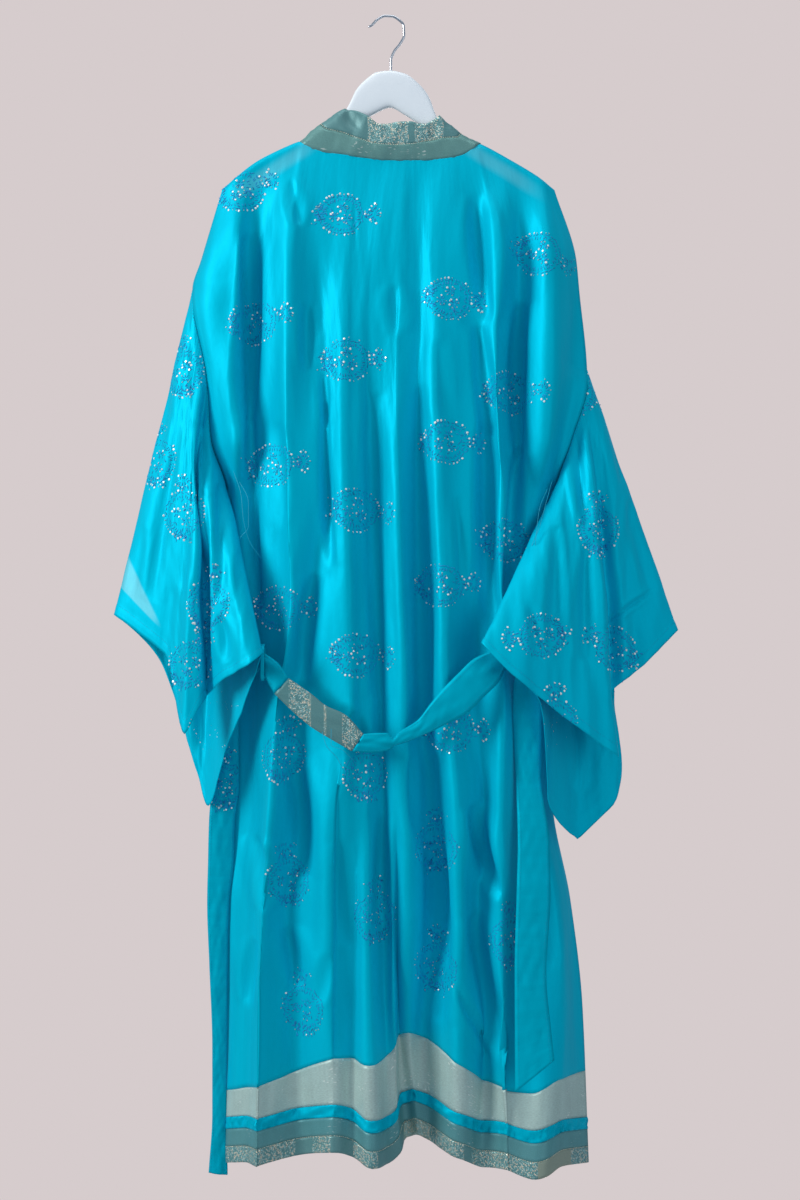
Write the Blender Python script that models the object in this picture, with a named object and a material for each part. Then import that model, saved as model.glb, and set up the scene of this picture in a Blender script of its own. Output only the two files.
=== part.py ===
"""Silk kimono robe with a tied belt, hung on a painted coat hanger.

All sizes are in millimetres and are turned into metres when a mesh is made.
The inner top of the hook is the origin, +Z is up and the back of the robe
faces -Y.  Left is the wearer's left, which is -X.
"""
import math

import bpy
import numpy as np

MM = 0.001

# Cloth
WALL = 1.5            # thickness of every cloth wall
SEAM = 0.3            # clearance at a seam
HALF = SEAM / 2

# Hem bands, depth of each from the panel down to the hem
SILVER_BAND = 68.0
TURQUOISE_BAND = 16.0
TEAL_BAND = 24.0
PATCH_HEM = 22.0
BORDER = SILVER_BAND + TURQUOISE_BAND + TEAL_BAND + PATCH_HEM

# Roll of the cloth over the hanger and the shoulder folds
ROLL_FALL = 9.0
ROLL_REACH = 9.6
ROLL_END = 160.0      # below the shoulder, where the folds alone give the depth

# Neckband
FRONT_BAND_WIDTH = 48.0
FRONT_JOINT = 17.0    # where its two strips are joined, from the outer edge

# Hanger
WOOD_THICK = 13.0
WIRE_RADIUS = 1.75

# Heights at which the folds of the body are given
LEVELS = (-333, -374, -497, -580, -648, -799, -936, -1073, -1210, -1347, -1566)

# Fractions of the way down a panel at which it has a row of vertices
ROWS = (0, 0.002, 0.006, 0.018, 0.045, 0.08, 0.115, 0.16, 0.205, 0.24, 0.275, 0.31,
        0.342, 0.40, 0.47, 0.55, 0.63, 0.71, 0.79, 0.86, 0.93, 1.0)
ARMHOLE_LEFT = (0.115, 0.342, 22.0)     # rows where it starts and ends, and its half depth
ARMHOLE_RIGHT = (0.205, 0.342, 17.0)
ARMHOLE_SHAPE = ((0.0, 0.0), (0.12, 0.62), (0.45, 1.0), (0.78, 0.85), (0.92, 0.5), (1.0, 0.0))

# Folds of the back panel from its left edge to its right edge:
# name, top x, top z, top y, hem z, x at each level, y at each level
BACK = (
    ("seam_left", -227, -236, -HALF, -1569,
     (-256, -268, -246, -233, -189, -199, -199, -197, -216, -218, -219), None),
    ("drop_left", -206, -218, -HALF, -1561,
     (-203, -206, -214, -203, -182, -189, -189, -188, -205, -206, -207),
     (-40, -42, -48, -44, -16, -14, -14, -16, -20, -22, -26)),
    ("trough_1", -178, -197, -HALF, -1556,
     (-178, -181, -187, -181, -175, -176, -176, -176, -192, -191, -191),
     (-16, -15, -11, -12, -18, -24, -30, -34, -36, -38, -44)),
    ("ridge_2", -122, -171, -HALF, -1550,
     (-134, -134, -135, -136, -136, -130, -148, -156, -167, -172, -174),
     (-44, -49, -62, -66, -70, -76, -76, -78, -74, -76, -86)),
    ("neck_left", -116.5, -175.5, -9.5, -1549,
     (-130, -129, -127, -128, -128, -126, -143, -151, -162, -166, -167),
     (-43, -47, -60, -65, -69, -75, -74, -74, -70, -72, -83)),
    ("trough_3", -89, -187, -11, -1543,
     (-109, -102, -83, -80, -80, -103, -115, -118, -132, -129, -118),
     (-34, -38, -48, -50, -50, -54, -50, -44, -42, -46, -56)),
    ("ridge_4", -54, -192, -12, -1529,
     (-58, -59, -60, -60, -58, -53, -50, -68, -70, -71, -71),
     (-42, -47, -62, -66, -70, -80, -84, -86, -82, -86, -94)),
    ("trough_4", -38, -195, -12, -1538,
     (-46, -47, -49, -48, -45, -38, -36, -44, -42, -44, -47),
     (-40, -44, -56, -60, -62, -68, -72, -70, -62, -64, -84)),
    ("ridge_5", -22, -197, -12, -1548,
     (-33, -35, -39, -36, -30, -24, -21, -28, -27, -25, -20),
     (-39, -43, -52, -54, -56, -62, -66, -72, -76, -84, -100)),
    ("trough_5", -5, -199, -12, -1549,
     (-21, -23, -27, -24, -17, -10, -8, -5, -4, -2, 4),
     (-38, -40, -46, -48, -50, -50, -48, -46, -46, -56, -74)),
    ("fold_front", 4, -199, -12, -1536,
     (-9, -10, -13, -10, -5, 0, 4, 6, 6, 8, 27),
     (-39, -42, -52, -56, -58, -60, -60, -56, -57, -64, -56)),
    ("fold_back", 12, -199, -12, -1528,
     (2, 1, -2, -1, 3, 8, 12, 13, 12, 13, 32),
     (-40, -45, -58, -62, -66, -68, -68, -60, -47, -37, -26)),
    ("ridge_6", 23, -199, -12, -1522,
     (16, 15, 11, 12, 14, 18, 24, 27, 24, 26, 44),
     (-42, -47, -62, -68, -74, -78, -76, -68, -56, -45, -32)),
    ("trough_7", 42, -199, -12, -1529,
     (42, 42, 42, 38, 39, 41, 47, 54, 57, 49, 57),
     (-30, -32, -38, -40, -42, -44, -46, -34, -30, -28, -34)),
    ("ridge_8", 71, -197, -12, -1542,
     (66, 66, 67, 67, 67, 72, 80, 92, 96, 92, 94),
     (-42, -47, -60, -66, -72, -78, -78, -80, -78, -78, -66)),
    ("trough_9", 100, -192, -11, -1559,
     (122, 121, 119, 131, 134, 128, 121, 131, 124, 127, 130),
     (-30, -31, -36, -40, -44, -50, -54, -50, -46, -46, -60)),
    ("neck_right", 120.5, -178.5, -9.5, -1556,
     (147, 145, 141, 146, 148, 148, 149, 147, 148, 149, 155),
     (-39, -43, -54, -58, -60, -64, -66, -70, -70, -74, -83)),
    ("ridge_10", 126, -174, -HALF, -1556,
     (151, 149, 145, 150, 152, 153, 154, 151, 152, 153, 160),
     (-40, -44, -56, -60, -62, -66, -68, -72, -72, -78, -86)),
    ("trough_11", 171, -198, -HALF, -1566,
     (180, 181, 182, 179, 174, 168, 173, 180, 186, 191, 194),
     (-16, -15, -11, -12, -18, -30, -40, -48, -52, -56, -84)),
    ("drop_right", 207, -220, -HALF, -1557,
     (216, 216, 217, 213, 198, 183, 195, 203, 221, 231, 233),
     (-40, -42, -48, -44, -22, -16, -26, -32, -44, -56, -66)),
    ("seam_right", 228, -237, -HALF, -1569,
     (258, 262, 273, 246, 216, 195, 211, 216, 244, 259, 269), None),
)
# Columns between one fold and the next
BACK_COLUMNS = (3, 3, 3, 2, 3, 3, 1, 2, 2, 1, 1, 2, 2, 3, 3, 3, 2, 3, 3, 3)

# Folds of the fronts, each from its side seam to its front edge
FRONT_LEFT = (
    ("seam", -227, -236, HALF, -1569,
     (-256, -268, -246, -233, -189, -199, -199, -197, -216, -218, -219), None),
    ("drop", -206, -218, HALF, -1566,
     (-206, -208, -214, -203, -182, -190, -190, -188, -206, -208, -209),
     (40, 42, 46, 42, 26, 28, 30, 32, 36, 38, 40)),
    ("trough", -178, -197, HALF, -1564,
     (-176, -178, -184, -176, -166, -166, -164, -164, -176, -178, -180),
     (24, 24, 24, 26, 40, 48, 52, 56, 60, 62, 66)),
    ("ridge", -122, -171, HALF, -1562,
     (-132, -133, -134, -134, -134, -132, -134, -136, -142, -146, -150),
     (44, 48, 60, 64, 70, 78, 84, 88, 90, 92, 98)),
    ("neck_turn", -117.5, -179, 10, -1561,
     (-124, -125, -126, -126, -126, -124, -126, -128, -134, -138, -141),
     (42, 46, 58, 62, 68, 76, 81, 84, 86, 88, 93)),
    ("hollow", -101, -232, 16, -1558,
     (-99, -99, -98, -97, -97, -98, -100, -104, -106, -108, -110),
     (30, 34, 46, 50, 54, 58, 60, 60, 62, 62, 62)),
    ("swell", -84, -305, 26, -1556,
     (-82, -81, -79, -78, -77, -77, -78, -80, -82, -84, -86),
     (29, 34, 48, 56, 62, 70, 76, 80, 84, 86, 90)),
    ("front_edge", -70, -385, 34, -1552,
     (-70, -69, -66, -64, -62, -60, -58, -58, -60, -62, -64),
     (34, 36, 42, 48, 52, 58, 62, 66, 70, 72, 76)),
)
FRONT_RIGHT = (
    ("seam", 228, -237, HALF, -1569,
     (258, 262, 273, 246, 216, 195, 211, 216, 244, 259, 269), None),
    ("drop", 207, -220, HALF, -1562,
     (220, 220, 218, 213, 198, 182, 198, 204, 230, 254, 270),
     (40, 42, 46, 42, 26, 26, 30, 32, 38, 42, 46)),
    ("trough", 171, -198, HALF, -1564,
     (182, 183, 184, 178, 172, 170, 174, 178, 190, 204, 214),
     (24, 24, 24, 26, 40, 48, 52, 56, 60, 62, 66)),
    ("ridge", 126, -174, HALF, -1562,
     (140, 141, 142, 142, 142, 142, 144, 146, 152, 160, 168),
     (44, 48, 60, 64, 70, 78, 84, 88, 90, 92, 98)),
    ("neck_turn", 121, -182, 10, -1561,
     (132, 133, 134, 134, 134, 134, 136, 138, 144, 151, 158),
     (42, 46, 58, 62, 68, 76, 81, 84, 86, 88, 93)),
    ("hollow", 105, -235, 16, -1558,
     (104, 104, 104, 104, 104, 106, 108, 112, 116, 120, 124),
     (30, 34, 46, 50, 54, 58, 60, 60, 62, 62, 62)),
    ("swell", 88, -308, 26, -1556,
     (87, 86, 84, 83, 83, 84, 86, 88, 92, 96, 98),
     (29, 34, 48, 56, 62, 70, 76, 80, 84, 86, 90)),
    ("front_edge", 75, -388, 34, -1552,
     (75, 74, 71, 69, 68, 67, 67, 68, 71, 74, 77),
     (34, 36, 42, 48, 52, 58, 62, 66, 70, 72, 76)),
)
FRONT_COLUMNS = (3, 2, 3, 2, 2, 2, 2)

# Folds of the sleeves, each running from the armhole to the cuff:
# name, side, fraction of the way down the armhole, cuff x, y, z, swell in y half way,
# swing in x just below the armhole
SLEEVE_LEFT = (
    ("top_fold", "back", 0.00, -376, 5, -819, 2, 0),
    ("flare", "back", 0.10, -338, -20, -844, -8, -2),
    ("flare_edge", "back", 0.22, -294, -42, -882, -10, -5),
    ("fold_ridge", "back", 0.34, -263, -76, -974, -14, -9),
    ("fold_edge", "back", 0.44, -251, -72, -940, -16, -11),
    ("fold_inner", "back", 0.54, -244, -48, -929, -6, -13),
    ("near_ridge", "back", 0.66, -227, -74, -911, -16, -16),
    ("near_swell", "back", 0.78, -202, -98, -895, -14, -20),
    ("near_edge", "back", 0.90, -180, -118, -882, -8, -22),
    ("underarm", "back", 1.00, -163, -106, -868, 0, -22),
    ("far_edge", "front", 0.90, -182, -84, -913, 12, -20),
    ("far_swell", "front", 0.76, -214, -48, -990, 16, -18),
    ("low_corner", "front", 0.62, -244, -16, -1079, 18, -14),
    ("far_fold", "front", 0.48, -262, 2, -1035, 16, -10),
    ("far_hollow", "front", 0.34, -287, 18, -959, 12, -6),
    ("far_flare", "front", 0.20, -316, 26, -882, 10, -3),
    ("far_top", "front", 0.10, -348, 18, -843, 8, -1),
)
SLEEVE_RIGHT = (
    ("top_fold", "back", 0.00, 398, 6, -840, 2, 0),
    ("flare", "back", 0.14, 344, -18, -891, -8, 2),
    ("fold_inner", "back", 0.30, 304, -28, -930, -4, 5),
    ("fold_ridge", "back", 0.44, 308, -66, -1008, -14, 9),
    ("near_swell", "back", 0.58, 254, -92, -969, -16, 14),
    ("near_edge", "back", 0.74, 204, -114, -930, -14, 19),
    ("near_corner", "back", 0.88, 156, -134, -889, -10, 22),
    ("underarm", "back", 1.00, 123, -120, -855, 0, 22),
    ("far_corner", "front", 0.90, 156, -106, -889, 8, 22),
    ("far_edge", "front", 0.81, 202, -97, -936, 8, 20),
    ("far_fall", "front", 0.73, 210, -86, -1000, 12, 18),
    ("far_fold", "front", 0.64, 213, -68, -1066, 16, 15),
    ("low_corner", "front", 0.54, 257, -34, -1118, 18, 12),
    ("far_turn", "front", 0.43, 311, -12, -1071, 16, 9),
    ("turn_top", "front", 0.33, 320, 4, -1025, 14, 7),
    ("far_hollow", "front", 0.22, 312, 20, -923, 12, 4),
    ("far_flare", "front", 0.11, 355, 22, -875, 8, 2),
)
SLEEVE_ROWS = 11
SLEEVE_COLUMNS = 16   # on each layer
SLEEVE_MEETS = 0.35   # how far outside the armhole edge a sleeve begins

# Neckband round the neck, left to right: name, panel it meets, outer x, joint x, y, z, inner x, y, z
NECK_STATIONS = (
    ("turn_left", "left", -117.5, -90, 10.4, -157, -57, 9.8, -133),
    ("front_crest_left", "left", -119.7, -91, 6.4, -149.5, -58.5, 6.3, -127.3),
    ("ridge_left", "back", -122, -93, 0, -147, -60, 0, -126),
    ("crest_left", "back", -119.3, -90.5, -6, -149, -58.5, -6, -127),
    ("roll_left", "back", -116.5, -86, -9.8, -154, -55.5, -9.8, -129),
    ("side_left", "back", -92, -62, -12, -161, -42, -12, -132),
    ("turn_in_left", "back", -54, -36, -15, -171, -26, -14, -140),
    ("mid_left", "back", -22, -16, -17, -177, -12, -16, -150),
    ("middle", "back", 4, 4, -18, -179, 4, -17, -149),
    ("mid_right", "back", 30, 29, -17, -178, 28, -16, -147),
    ("turn_in_right", "back", 58, 53, -15, -173, 50, -14, -150),
    ("side_right", "back", 94, 80, -12, -168, 58, -12, -146),
    ("roll_right", "back", 120.5, 95, -9.8, -167, 67, -9.8, -140),
    ("crest_right", "back", 123.2, 98.5, -6, -162, 70, -6, -137),
    ("ridge_right", "back", 126, 100, 0, -160, 71, 0, -136),
    ("front_crest_right", "right", 123.5, 98.5, 6.4, -162.5, 70, 6.3, -137.2),
    ("turn_right", "right", 121, 96, 10.4, -169, 68, 9.8, -142),
)

# Hanger, from its left end to its right end: x, top z, underside z
HANGER = (
    (-212, -236, -241), (-208, -231, -245), (-198, -223, -242), (-184, -214, -234), (-150, -195, -219),
    (-122, -179, -204), (-93, -154, -184), (-60, -131, -159), (-52, -118, -154), (-44, -101, -149),
    (-29, -85, -139), (-15, -76, -131), (3, -74, -124), (23, -78, -134), (40, -90, -145), (55, -108, -155),
    (61, -122, -160), (65, -135, -163), (72, -144, -168), (100, -167, -190), (126, -183, -208),
    (166, -206, -229), (200, -225, -246), (218, -239, -252), (222, -245, -249),
)

# Hook, from the wood to its tip: x, z
HOOK = (
    (4, -74.15), (4, -60), (8, -48), (17, -36), (22, -25), (21.4, -12), (15, -4), (5.5, 1), (-4, 1.4),
    (-15, -4), (-22, -11), (-27, -14),
)

# Belt, two edges at each station: name, upper or left x, z, lower or right x, z, y
BELT_LEFT_RUN = (
    ("loop", -166, -868, -167.5, -888, -81),
    ("spread", -146, -881, -160, -905, -87),
    ("patch_start", -131, -901, -150, -922, -92),
)
BELT_PATCH = (
    ("start", -130.5, -902, -149.5, -922.6, -92),
    ("first", -100, -923, -122, -949, -95),
    ("second", -81, -938, -101, -966, -97),
    ("third", -57, -949, -80, -979, -98),
    ("end", -32, -975, -47, -998, -98),
)
BELT_RIGHT_RUN = (
    ("start", -31.5, -975.3, -46.5, -998.4, -98),
    ("flat", -14, -974, -20, -1000, -97),
    ("narrow", 1, -974, 4, -996, -95),
    ("pinch", 6, -982, 8, -992, -94),
    ("widen", 14, -974, 24, -987, -93),
    ("rise", 40, -957, 55, -974, -93),
    ("broad", 57, -935, 81, -961, -94),
    ("steep", 74, -915, 104, -949, -94),
    ("upper", 95, -894, 128, -926, -92),
    ("near_loop", 115, -876, 149, -905, -88),
    ("hidden", 136, -867, 158, -887, -81),
    ("loop", 168, -858, 168, -878, -77),
)
BELT_LEFT_END = (
    ("loop", -167.2, -867.8, -168.7, -888, -80),
    ("turn", -182, -882, -175, -897, -66),
    ("behind", -198, -903, -187, -915, -48),
    ("fall", -216, -936, -200, -938, -28),
    ("spread", -230, -990, -203, -991, -14),
    ("widest", -239, -1045, -203, -1046, -9),
    ("motif", -244.5, -1100, -209, -1100, -7),
    ("side", -246, -1160, -214, -1160, -7),
    ("taper", -247, -1212, -220, -1212, -8),
    ("low", -244, -1297, -222, -1297, -8),
    ("knee", -240, -1411, -223.5, -1411, -8),
    ("shin", -240, -1500, -224, -1500, -8),
    ("tip", -245, -1581, -223.5, -1584, -8),
)
BELT_RIGHT_END = (
    ("loop", 168.7, -878, 168.7, -858, -77),
    ("turn", 170.5, -886, 187, -870, -74),
    ("gather", 171, -898, 197, -889, -68),
    ("emerge", 168, -913, 203, -905, -62),
    ("fall", 167, -945, 206, -945, -60),
    ("straight", 171, -1035, 205, -1035, -64),
    ("side", 173, -1118, 215, -1118, -76),
    ("widest", 171, -1186, 216, -1186, -84),
    ("low", 168, -1295, 210, -1295, -90),
    ("flare", 168, -1360, 216, -1352, -95),
    ("tip", 170, -1409, 224, -1383, -98),
)
BELT_THICK = 2.0

# Belt loops: name, centre x, y, z, turn about y in degrees, inner width and depth
LOOPS = (
    ("belt_loop_left", -166, -67.15, -882.0, 0, 47, 41),
    ("belt_loop_right", 163, -71.35, -866.4, 0, 40, 31),
)
LOOP_WIDE = 5.0
LOOP_THICK = 1.2

COLOURS = {
    "silk": ((0.0, 0.43, 0.60), 0.34, 0.0),
    "sleeve_silk": ((0.0, 0.46, 0.63), 0.34, 0.0),
    "belt_silk": ((0.0, 0.38, 0.56), 0.34, 0.0),
    "silver_zari": ((0.32, 0.46, 0.42), 0.42, 0.15),
    "turquoise_strip": ((0.0, 0.40, 0.55), 0.36, 0.0),
    "teal_zari": ((0.10, 0.28, 0.30), 0.40, 0.15),
    "brocade": ((0.16, 0.36, 0.36), 0.38, 0.25),
    "white_paint": ((0.80, 0.83, 0.88), 0.35, 0.0),
    "chrome": ((0.62, 0.62, 0.64), 0.16, 1.0),
}


def clear_scene():
    for ob in list(bpy.data.objects):
        bpy.data.objects.remove(ob, do_unlink=True)


def material(name):
    mat = bpy.data.materials.get(name)
    if mat is None:
        colour, rough, metal = COLOURS[name]
        mat = bpy.data.materials.new(name)
        mat.use_nodes = True
        shader = mat.node_tree.nodes["Principled BSDF"]
        shader.inputs["Base Color"].default_value = (*colour, 1.0)
        shader.inputs["Roughness"].default_value = rough
        shader.inputs["Metallic"].default_value = metal
        mat.diffuse_color = (*colour, 1.0)
    return mat


def smooth_through(knots, values, at):
    """Monotone cubic through (knots, values); values may have several columns."""
    knots = np.asarray(knots, float)
    values = np.asarray(values, float)
    flat = values.ndim == 1
    if flat:
        values = values[:, None]
    at = np.clip(np.asarray(at, float), knots[0], knots[-1])
    step = np.diff(knots)[:, None]
    slope = np.diff(values, axis=0) / step
    tangent = np.zeros_like(values)
    if len(knots) > 2:
        before, after = slope[:-1], slope[1:]
        same = before * after > 0
        w1 = 2 * step[1:] + step[:-1]
        w2 = step[1:] + 2 * step[:-1]
        safe_before = np.where(same, before, 1.0)
        safe_after = np.where(same, after, 1.0)
        tangent[1:-1] = np.where(same, (w1 + w2) / (w1 / safe_before + w2 / safe_after), 0.0)
    tangent[0], tangent[-1] = slope[0], slope[-1]
    k = np.clip(np.searchsorted(knots, at, side="right") - 1, 0, len(knots) - 2)
    t = ((at - knots[k]) / (knots[k + 1] - knots[k]))[:, None]
    h = (knots[k + 1] - knots[k])[:, None]
    out = ((2 * t**3 - 3 * t**2 + 1) * values[k] + (t**3 - 2 * t**2 + t) * h * tangent[k]
           + (-2 * t**3 + 3 * t**2) * values[k + 1] + (t**3 - t**2) * h * tangent[k + 1])
    return out[:, 0] if flat else out


def along_columns(row):
    """Direction of a row at each of its points, halfway between the two edges that meet there."""
    steps = np.diff(row, axis=0)
    steps = steps / np.maximum(np.linalg.norm(steps, axis=-1, keepdims=True), 1e-12)
    return np.concatenate([steps[:1], steps[:-1] + steps[1:], steps[-1:]])


def unit(vectors):
    return vectors / np.maximum(np.linalg.norm(vectors, axis=-1, keepdims=True), 1e-12)


def fold_columns(counts):
    """Fold coordinates of a panel's columns, counts[i] steps between folds i and i + 1."""
    at = [0.0]
    for fold, count in enumerate(counts):
        at += [fold + (k + 1) / count for k in range(count)]
    return np.array(at)


def armhole_depth(armhole, down):
    start, end, half = armhole
    where, depth = zip(*ARMHOLE_SHAPE)
    return half * smooth_through(where, depth, [(down - start) / (end - start)])[0]


class Panel:
    """A body panel hung from its top edge, with its folds given by a table."""

    def __init__(self, table, counts, armholes):
        self.columns = fold_columns(counts)
        self.side = 1.0 if table[0][3] > 0 else -1.0
        self.armholes = armholes
        self.table = table
        self.top = np.array([row[2] for row in table], float)
        self.hem = np.array([row[4] for row in table], float)

    def fold_points(self, down):
        """The point on every fold at `down`, 0 to 1 in the panel, above 1 in the border."""
        points = []
        for row, top, hem in zip(self.table, self.top, self.hem):
            edge = hem + BORDER
            z = top + (edge - top) * down if down <= 1 else edge - (down - 1) * BORDER
            keep = [k for k, level in enumerate(LEVELS) if level < top - 30]
            knots = [-top] + [-LEVELS[k] for k in keep]
            xs = [row[1]] + [row[5][k] for k in keep]
            x = smooth_through(knots, xs, [-z])[0]
            if row[6] is None:
                points.append((x, self.side * (HALF + armhole_depth(self.armholes[row[0]], down)), z))
                continue
            ys = [row[3]] + [row[6][k] for k in keep]
            y = smooth_through(knots, ys, [-z])[0]
            if abs(row[3]) < 1 and top - z < ROLL_END:
                fall = min((top - z) / ROLL_FALL, 1.0)
                fade = min(max((ROLL_END - (top - z)) / (ROLL_END - 60.0), 0.0), 1.0)
                roll = ROLL_REACH * math.sqrt(1 - (1 - fall) ** 2) * fade * fade * (3 - 2 * fade)
                y = self.side * max(math.hypot(roll, y), HALF)
            points.append((x, y, z))
        return np.array(points)

    def row(self, down):
        folds = self.fold_points(down)
        out = smooth_through(np.arange(len(folds)), folds, self.columns)
        out[0], out[-1] = folds[0], folds[-1]
        return out

    def grid(self, downs):
        """Points and outward normals at the given rows."""
        points = np.array([self.row(d) for d in downs])
        normals = []
        for d, row in zip(downs, points):
            lower, upper = self.row(max(d - 0.002, 0.0)), self.row(d + 0.002)
            normals.append(unit(np.cross(upper - lower, along_columns(row))))
        normals = np.array(normals)
        return points, normals if normals[..., 1].sum() * self.side > 0 else -normals


def in_plane(normals):
    """Normals with their y part taken out, for an edge that lies along the plane y = 0."""
    flat = normals.copy()
    flat[..., 1] = 0.0
    return unit(flat)


def miter(points, normals, ring):
    """How much further than the wall the inner corner of each vertex lies, so that the wall is even."""
    around = np.concatenate([points, points[:, :1]], axis=1) if ring else points
    quads = unit(np.cross(around[1:, 1:] - around[:-1, :-1], around[1:, :-1] - around[:-1, 1:]))
    if ring:
        quads = np.concatenate([quads[:, -1:], quads], axis=1)
    else:
        quads = np.concatenate([quads[:, :1], quads, quads[:, -1:]], axis=1)
    quads = np.concatenate([quads[:1], quads, quads[-1:]], axis=0)
    cosine = sum(np.abs(np.sum(q * normals, axis=-1))
                 for q in (quads[:-1, :-1], quads[:-1, 1:], quads[1:, :-1], quads[1:, 1:])) / 4
    further = 1 / np.clip(cosine, 0.4, 1.0)
    if ring:
        further[0] = 1.0
    return further


def shell(name, points, normals, finish, wall=WALL, ring=False):
    """A closed wall between a grid of points and the same grid moved in along the normals."""
    rows, cols = points.shape[:2]
    inner = points - normals * (wall * miter(points, normals, ring))[..., None]
    verts = np.concatenate([points.reshape(-1, 3), inner.reshape(-1, 3)]) * MM
    back = rows * cols

    def at(i, j, layer=0):
        return layer * back + i * cols + j % cols

    faces = []
    last = cols if ring else cols - 1
    for i in range(rows - 1):
        for j in range(last):
            faces.append((at(i, j), at(i, j + 1), at(i + 1, j + 1), at(i + 1, j)))
            faces.append((at(i, j, 1), at(i + 1, j, 1), at(i + 1, j + 1, 1), at(i, j + 1, 1)))
    for j in range(last):
        faces.append((at(0, j), at(0, j, 1), at(0, j + 1, 1), at(0, j + 1)))
        end = rows - 1
        faces.append((at(end, j), at(end, j + 1), at(end, j + 1, 1), at(end, j, 1)))
    if not ring:
        for i in range(rows - 1):
            faces.append((at(i, 0), at(i + 1, 0), at(i + 1, 0, 1), at(i, 0, 1)))
            end = cols - 1
            faces.append((at(i, end), at(i, end, 1), at(i + 1, end, 1), at(i + 1, end)))
    return solid(name, verts, faces, finish)


def solid(name, verts, faces, finish):
    mesh = bpy.data.meshes.new(name)
    mesh.from_pydata([tuple(v) for v in verts], [], faces)
    mesh.update()
    volume = 0.0
    for face in faces:
        a = verts[face[0]]
        for k in range(1, len(face) - 1):
            volume += np.dot(a, np.cross(verts[face[k]], verts[face[k + 1]]))
    if volume < 0:
        mesh.flip_normals()
    mesh.materials.append(material(finish))
    ob = bpy.data.objects.new(name, mesh)
    bpy.context.scene.collection.objects.link(ob)
    return ob


def body_panels(name, panel):
    """The panel itself and its four hem bands."""
    delta = HALF / BORDER
    depths = (("silver_band", SILVER_BAND, "silver_zari"),
              ("turquoise_band", TURQUOISE_BAND, "turquoise_strip"),
              ("teal_band", TEAL_BAND, "teal_zari"), ("patch_hem", PATCH_HEM, "brocade"))
    downs = list(ROWS[:-1]) + [1.0 - HALF / 1000.0]
    points, normals = panel.grid(downs)
    edges_in_plane = [edge for edge in (0, -1) if panel.table[edge][6] is None]
    for i in range(len(downs)):
        for edge in edges_in_plane:
            if abs(points[i, edge, 1]) < 1:
                normals[i, edge] = in_plane(normals[i, edge])
    ridge = np.abs(points[0, :, 1]) < 1
    normals[0, ridge] = in_plane(normals[0, ridge])
    shell(name, points, normals, "silk")
    start = 1.0
    for band, depth, finish in depths:
        end = start + depth / BORDER
        last = end if band == "patch_hem" else end - delta
        band_points, band_normals = panel.grid((start + delta, (start + end) / 2, last))
        for edge in edges_in_plane:
            band_normals[:, edge] = in_plane(band_normals[:, edge])
        shell(name.replace("_panel", "") + "_" + band, band_points, band_normals, finish)
        start = end
    return points, normals


def sleeve(name, table, back, front, column_back, armhole):
    """A tube from the armhole edges of the back and front panels to the cuff."""
    (back_points, back_normals), (front_points, front_normals) = back, front
    used = slice(ROWS.index(armhole[0]), ROWS.index(armhole[1]) + 1)
    count = used.stop - used.start
    backs, fronts = back_points[used, column_back], front_points[used, 0]
    out_back = unit(backs - back_points[used, column_back + (1 if column_back == 0 else -1)])
    out_front = unit(fronts - front_points[used, 1])
    drop = (backs[0, 2] - backs[:, 2]) / (backs[0, 2] - backs[-1, 2])
    low = np.clip((drop - 0.8) / 0.2, 0, 1)[:, None]
    meets = SLEEVE_MEETS * (1 + 2 * np.clip(drop / 0.4, 0, 1)[:, None])
    aside = np.array([math.copysign(2.2 * WALL, table[0][3]), 0, 0]) * low
    backs = backs + out_back * meets + aside
    fronts = fronts + out_front * meets + aside
    top = (backs[0] + fronts[0]) / 2
    bottom = (backs[-1] + fronts[-1]) / 2
    edge_normals = back_normals[used, column_back]
    columns = [(0.0, top, in_plane(edge_normals[0]))]
    fractions = [row[2] if row[1] == "back" else 2.0 - row[2] for row in table] + [2.0]

    def add(points, normals, k0, k1, mirrored, parts):
        for part in range(1, parts + 1):
            w = part / parts
            drop_at = drop[k0] * (1 - w) + drop[k1] * w
            place = 2.0 - drop_at if mirrored else drop_at
            columns.append((place, points[k0] * (1 - w) + points[k1] * w,
                            unit(normals[k0] * (1 - w) + normals[k1] * w)))

    def parts_between(k0, k1):
        return max(1, round(abs(drop[k1] - drop[k0]) * 2 * SLEEVE_COLUMNS / 2))

    for k in range(count - 1):
        add(backs, edge_normals, k, k + 1, False, parts_between(k, k + 1))
    columns[-1] = (1.0, bottom, in_plane(edge_normals[-1]))
    edge_normals = front_normals[used, 0]
    for k in range(count - 1, 0, -1):
        add(fronts, edge_normals, k, k - 1, True, parts_between(k, k - 1))
    columns.pop()

    places = np.array([c[0] for c in columns])
    start = np.array([c[1] for c in columns])
    lines = np.interp(places, fractions, np.arange(len(fractions)))
    count_lines = len(table)
    around = np.arange(-3, count_lines + 4)
    cuff = np.array([table[k % count_lines][3:] for k in around], float)
    cuff = smooth_through(around, cuff, lines)
    grid = []
    for step in np.linspace(0, 1, SLEEVE_ROWS):
        row = start * (1 - step) + cuff[:, :3] * step
        row[:, 1] += cuff[:, 3] * 4 * step * (1 - step)
        row[:, 0] += cuff[:, 4] * 9.48 * step * (1 - step) ** 3
        grid.append(row)
    grid = np.array(grid)
    along = np.gradient(grid, axis=0)
    across = (np.roll(grid, -1, axis=1) - np.roll(grid, 1, axis=1)) / 2
    normals = unit(np.cross(across, along))
    middle = grid.mean(axis=1, keepdims=True)
    if np.sum(normals * (grid - middle)) < 0:
        normals = -normals
    meets = np.array([c[2] for c in columns])
    own = np.clip((1 - np.abs(1 - places) - 0.92) / 0.08, 0, 1)[:, None]
    normals[0] = unit(meets * (1 - own) + normals[0] * own)
    shell(name, grid, normals, "sleeve_silk", ring=True)


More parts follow.
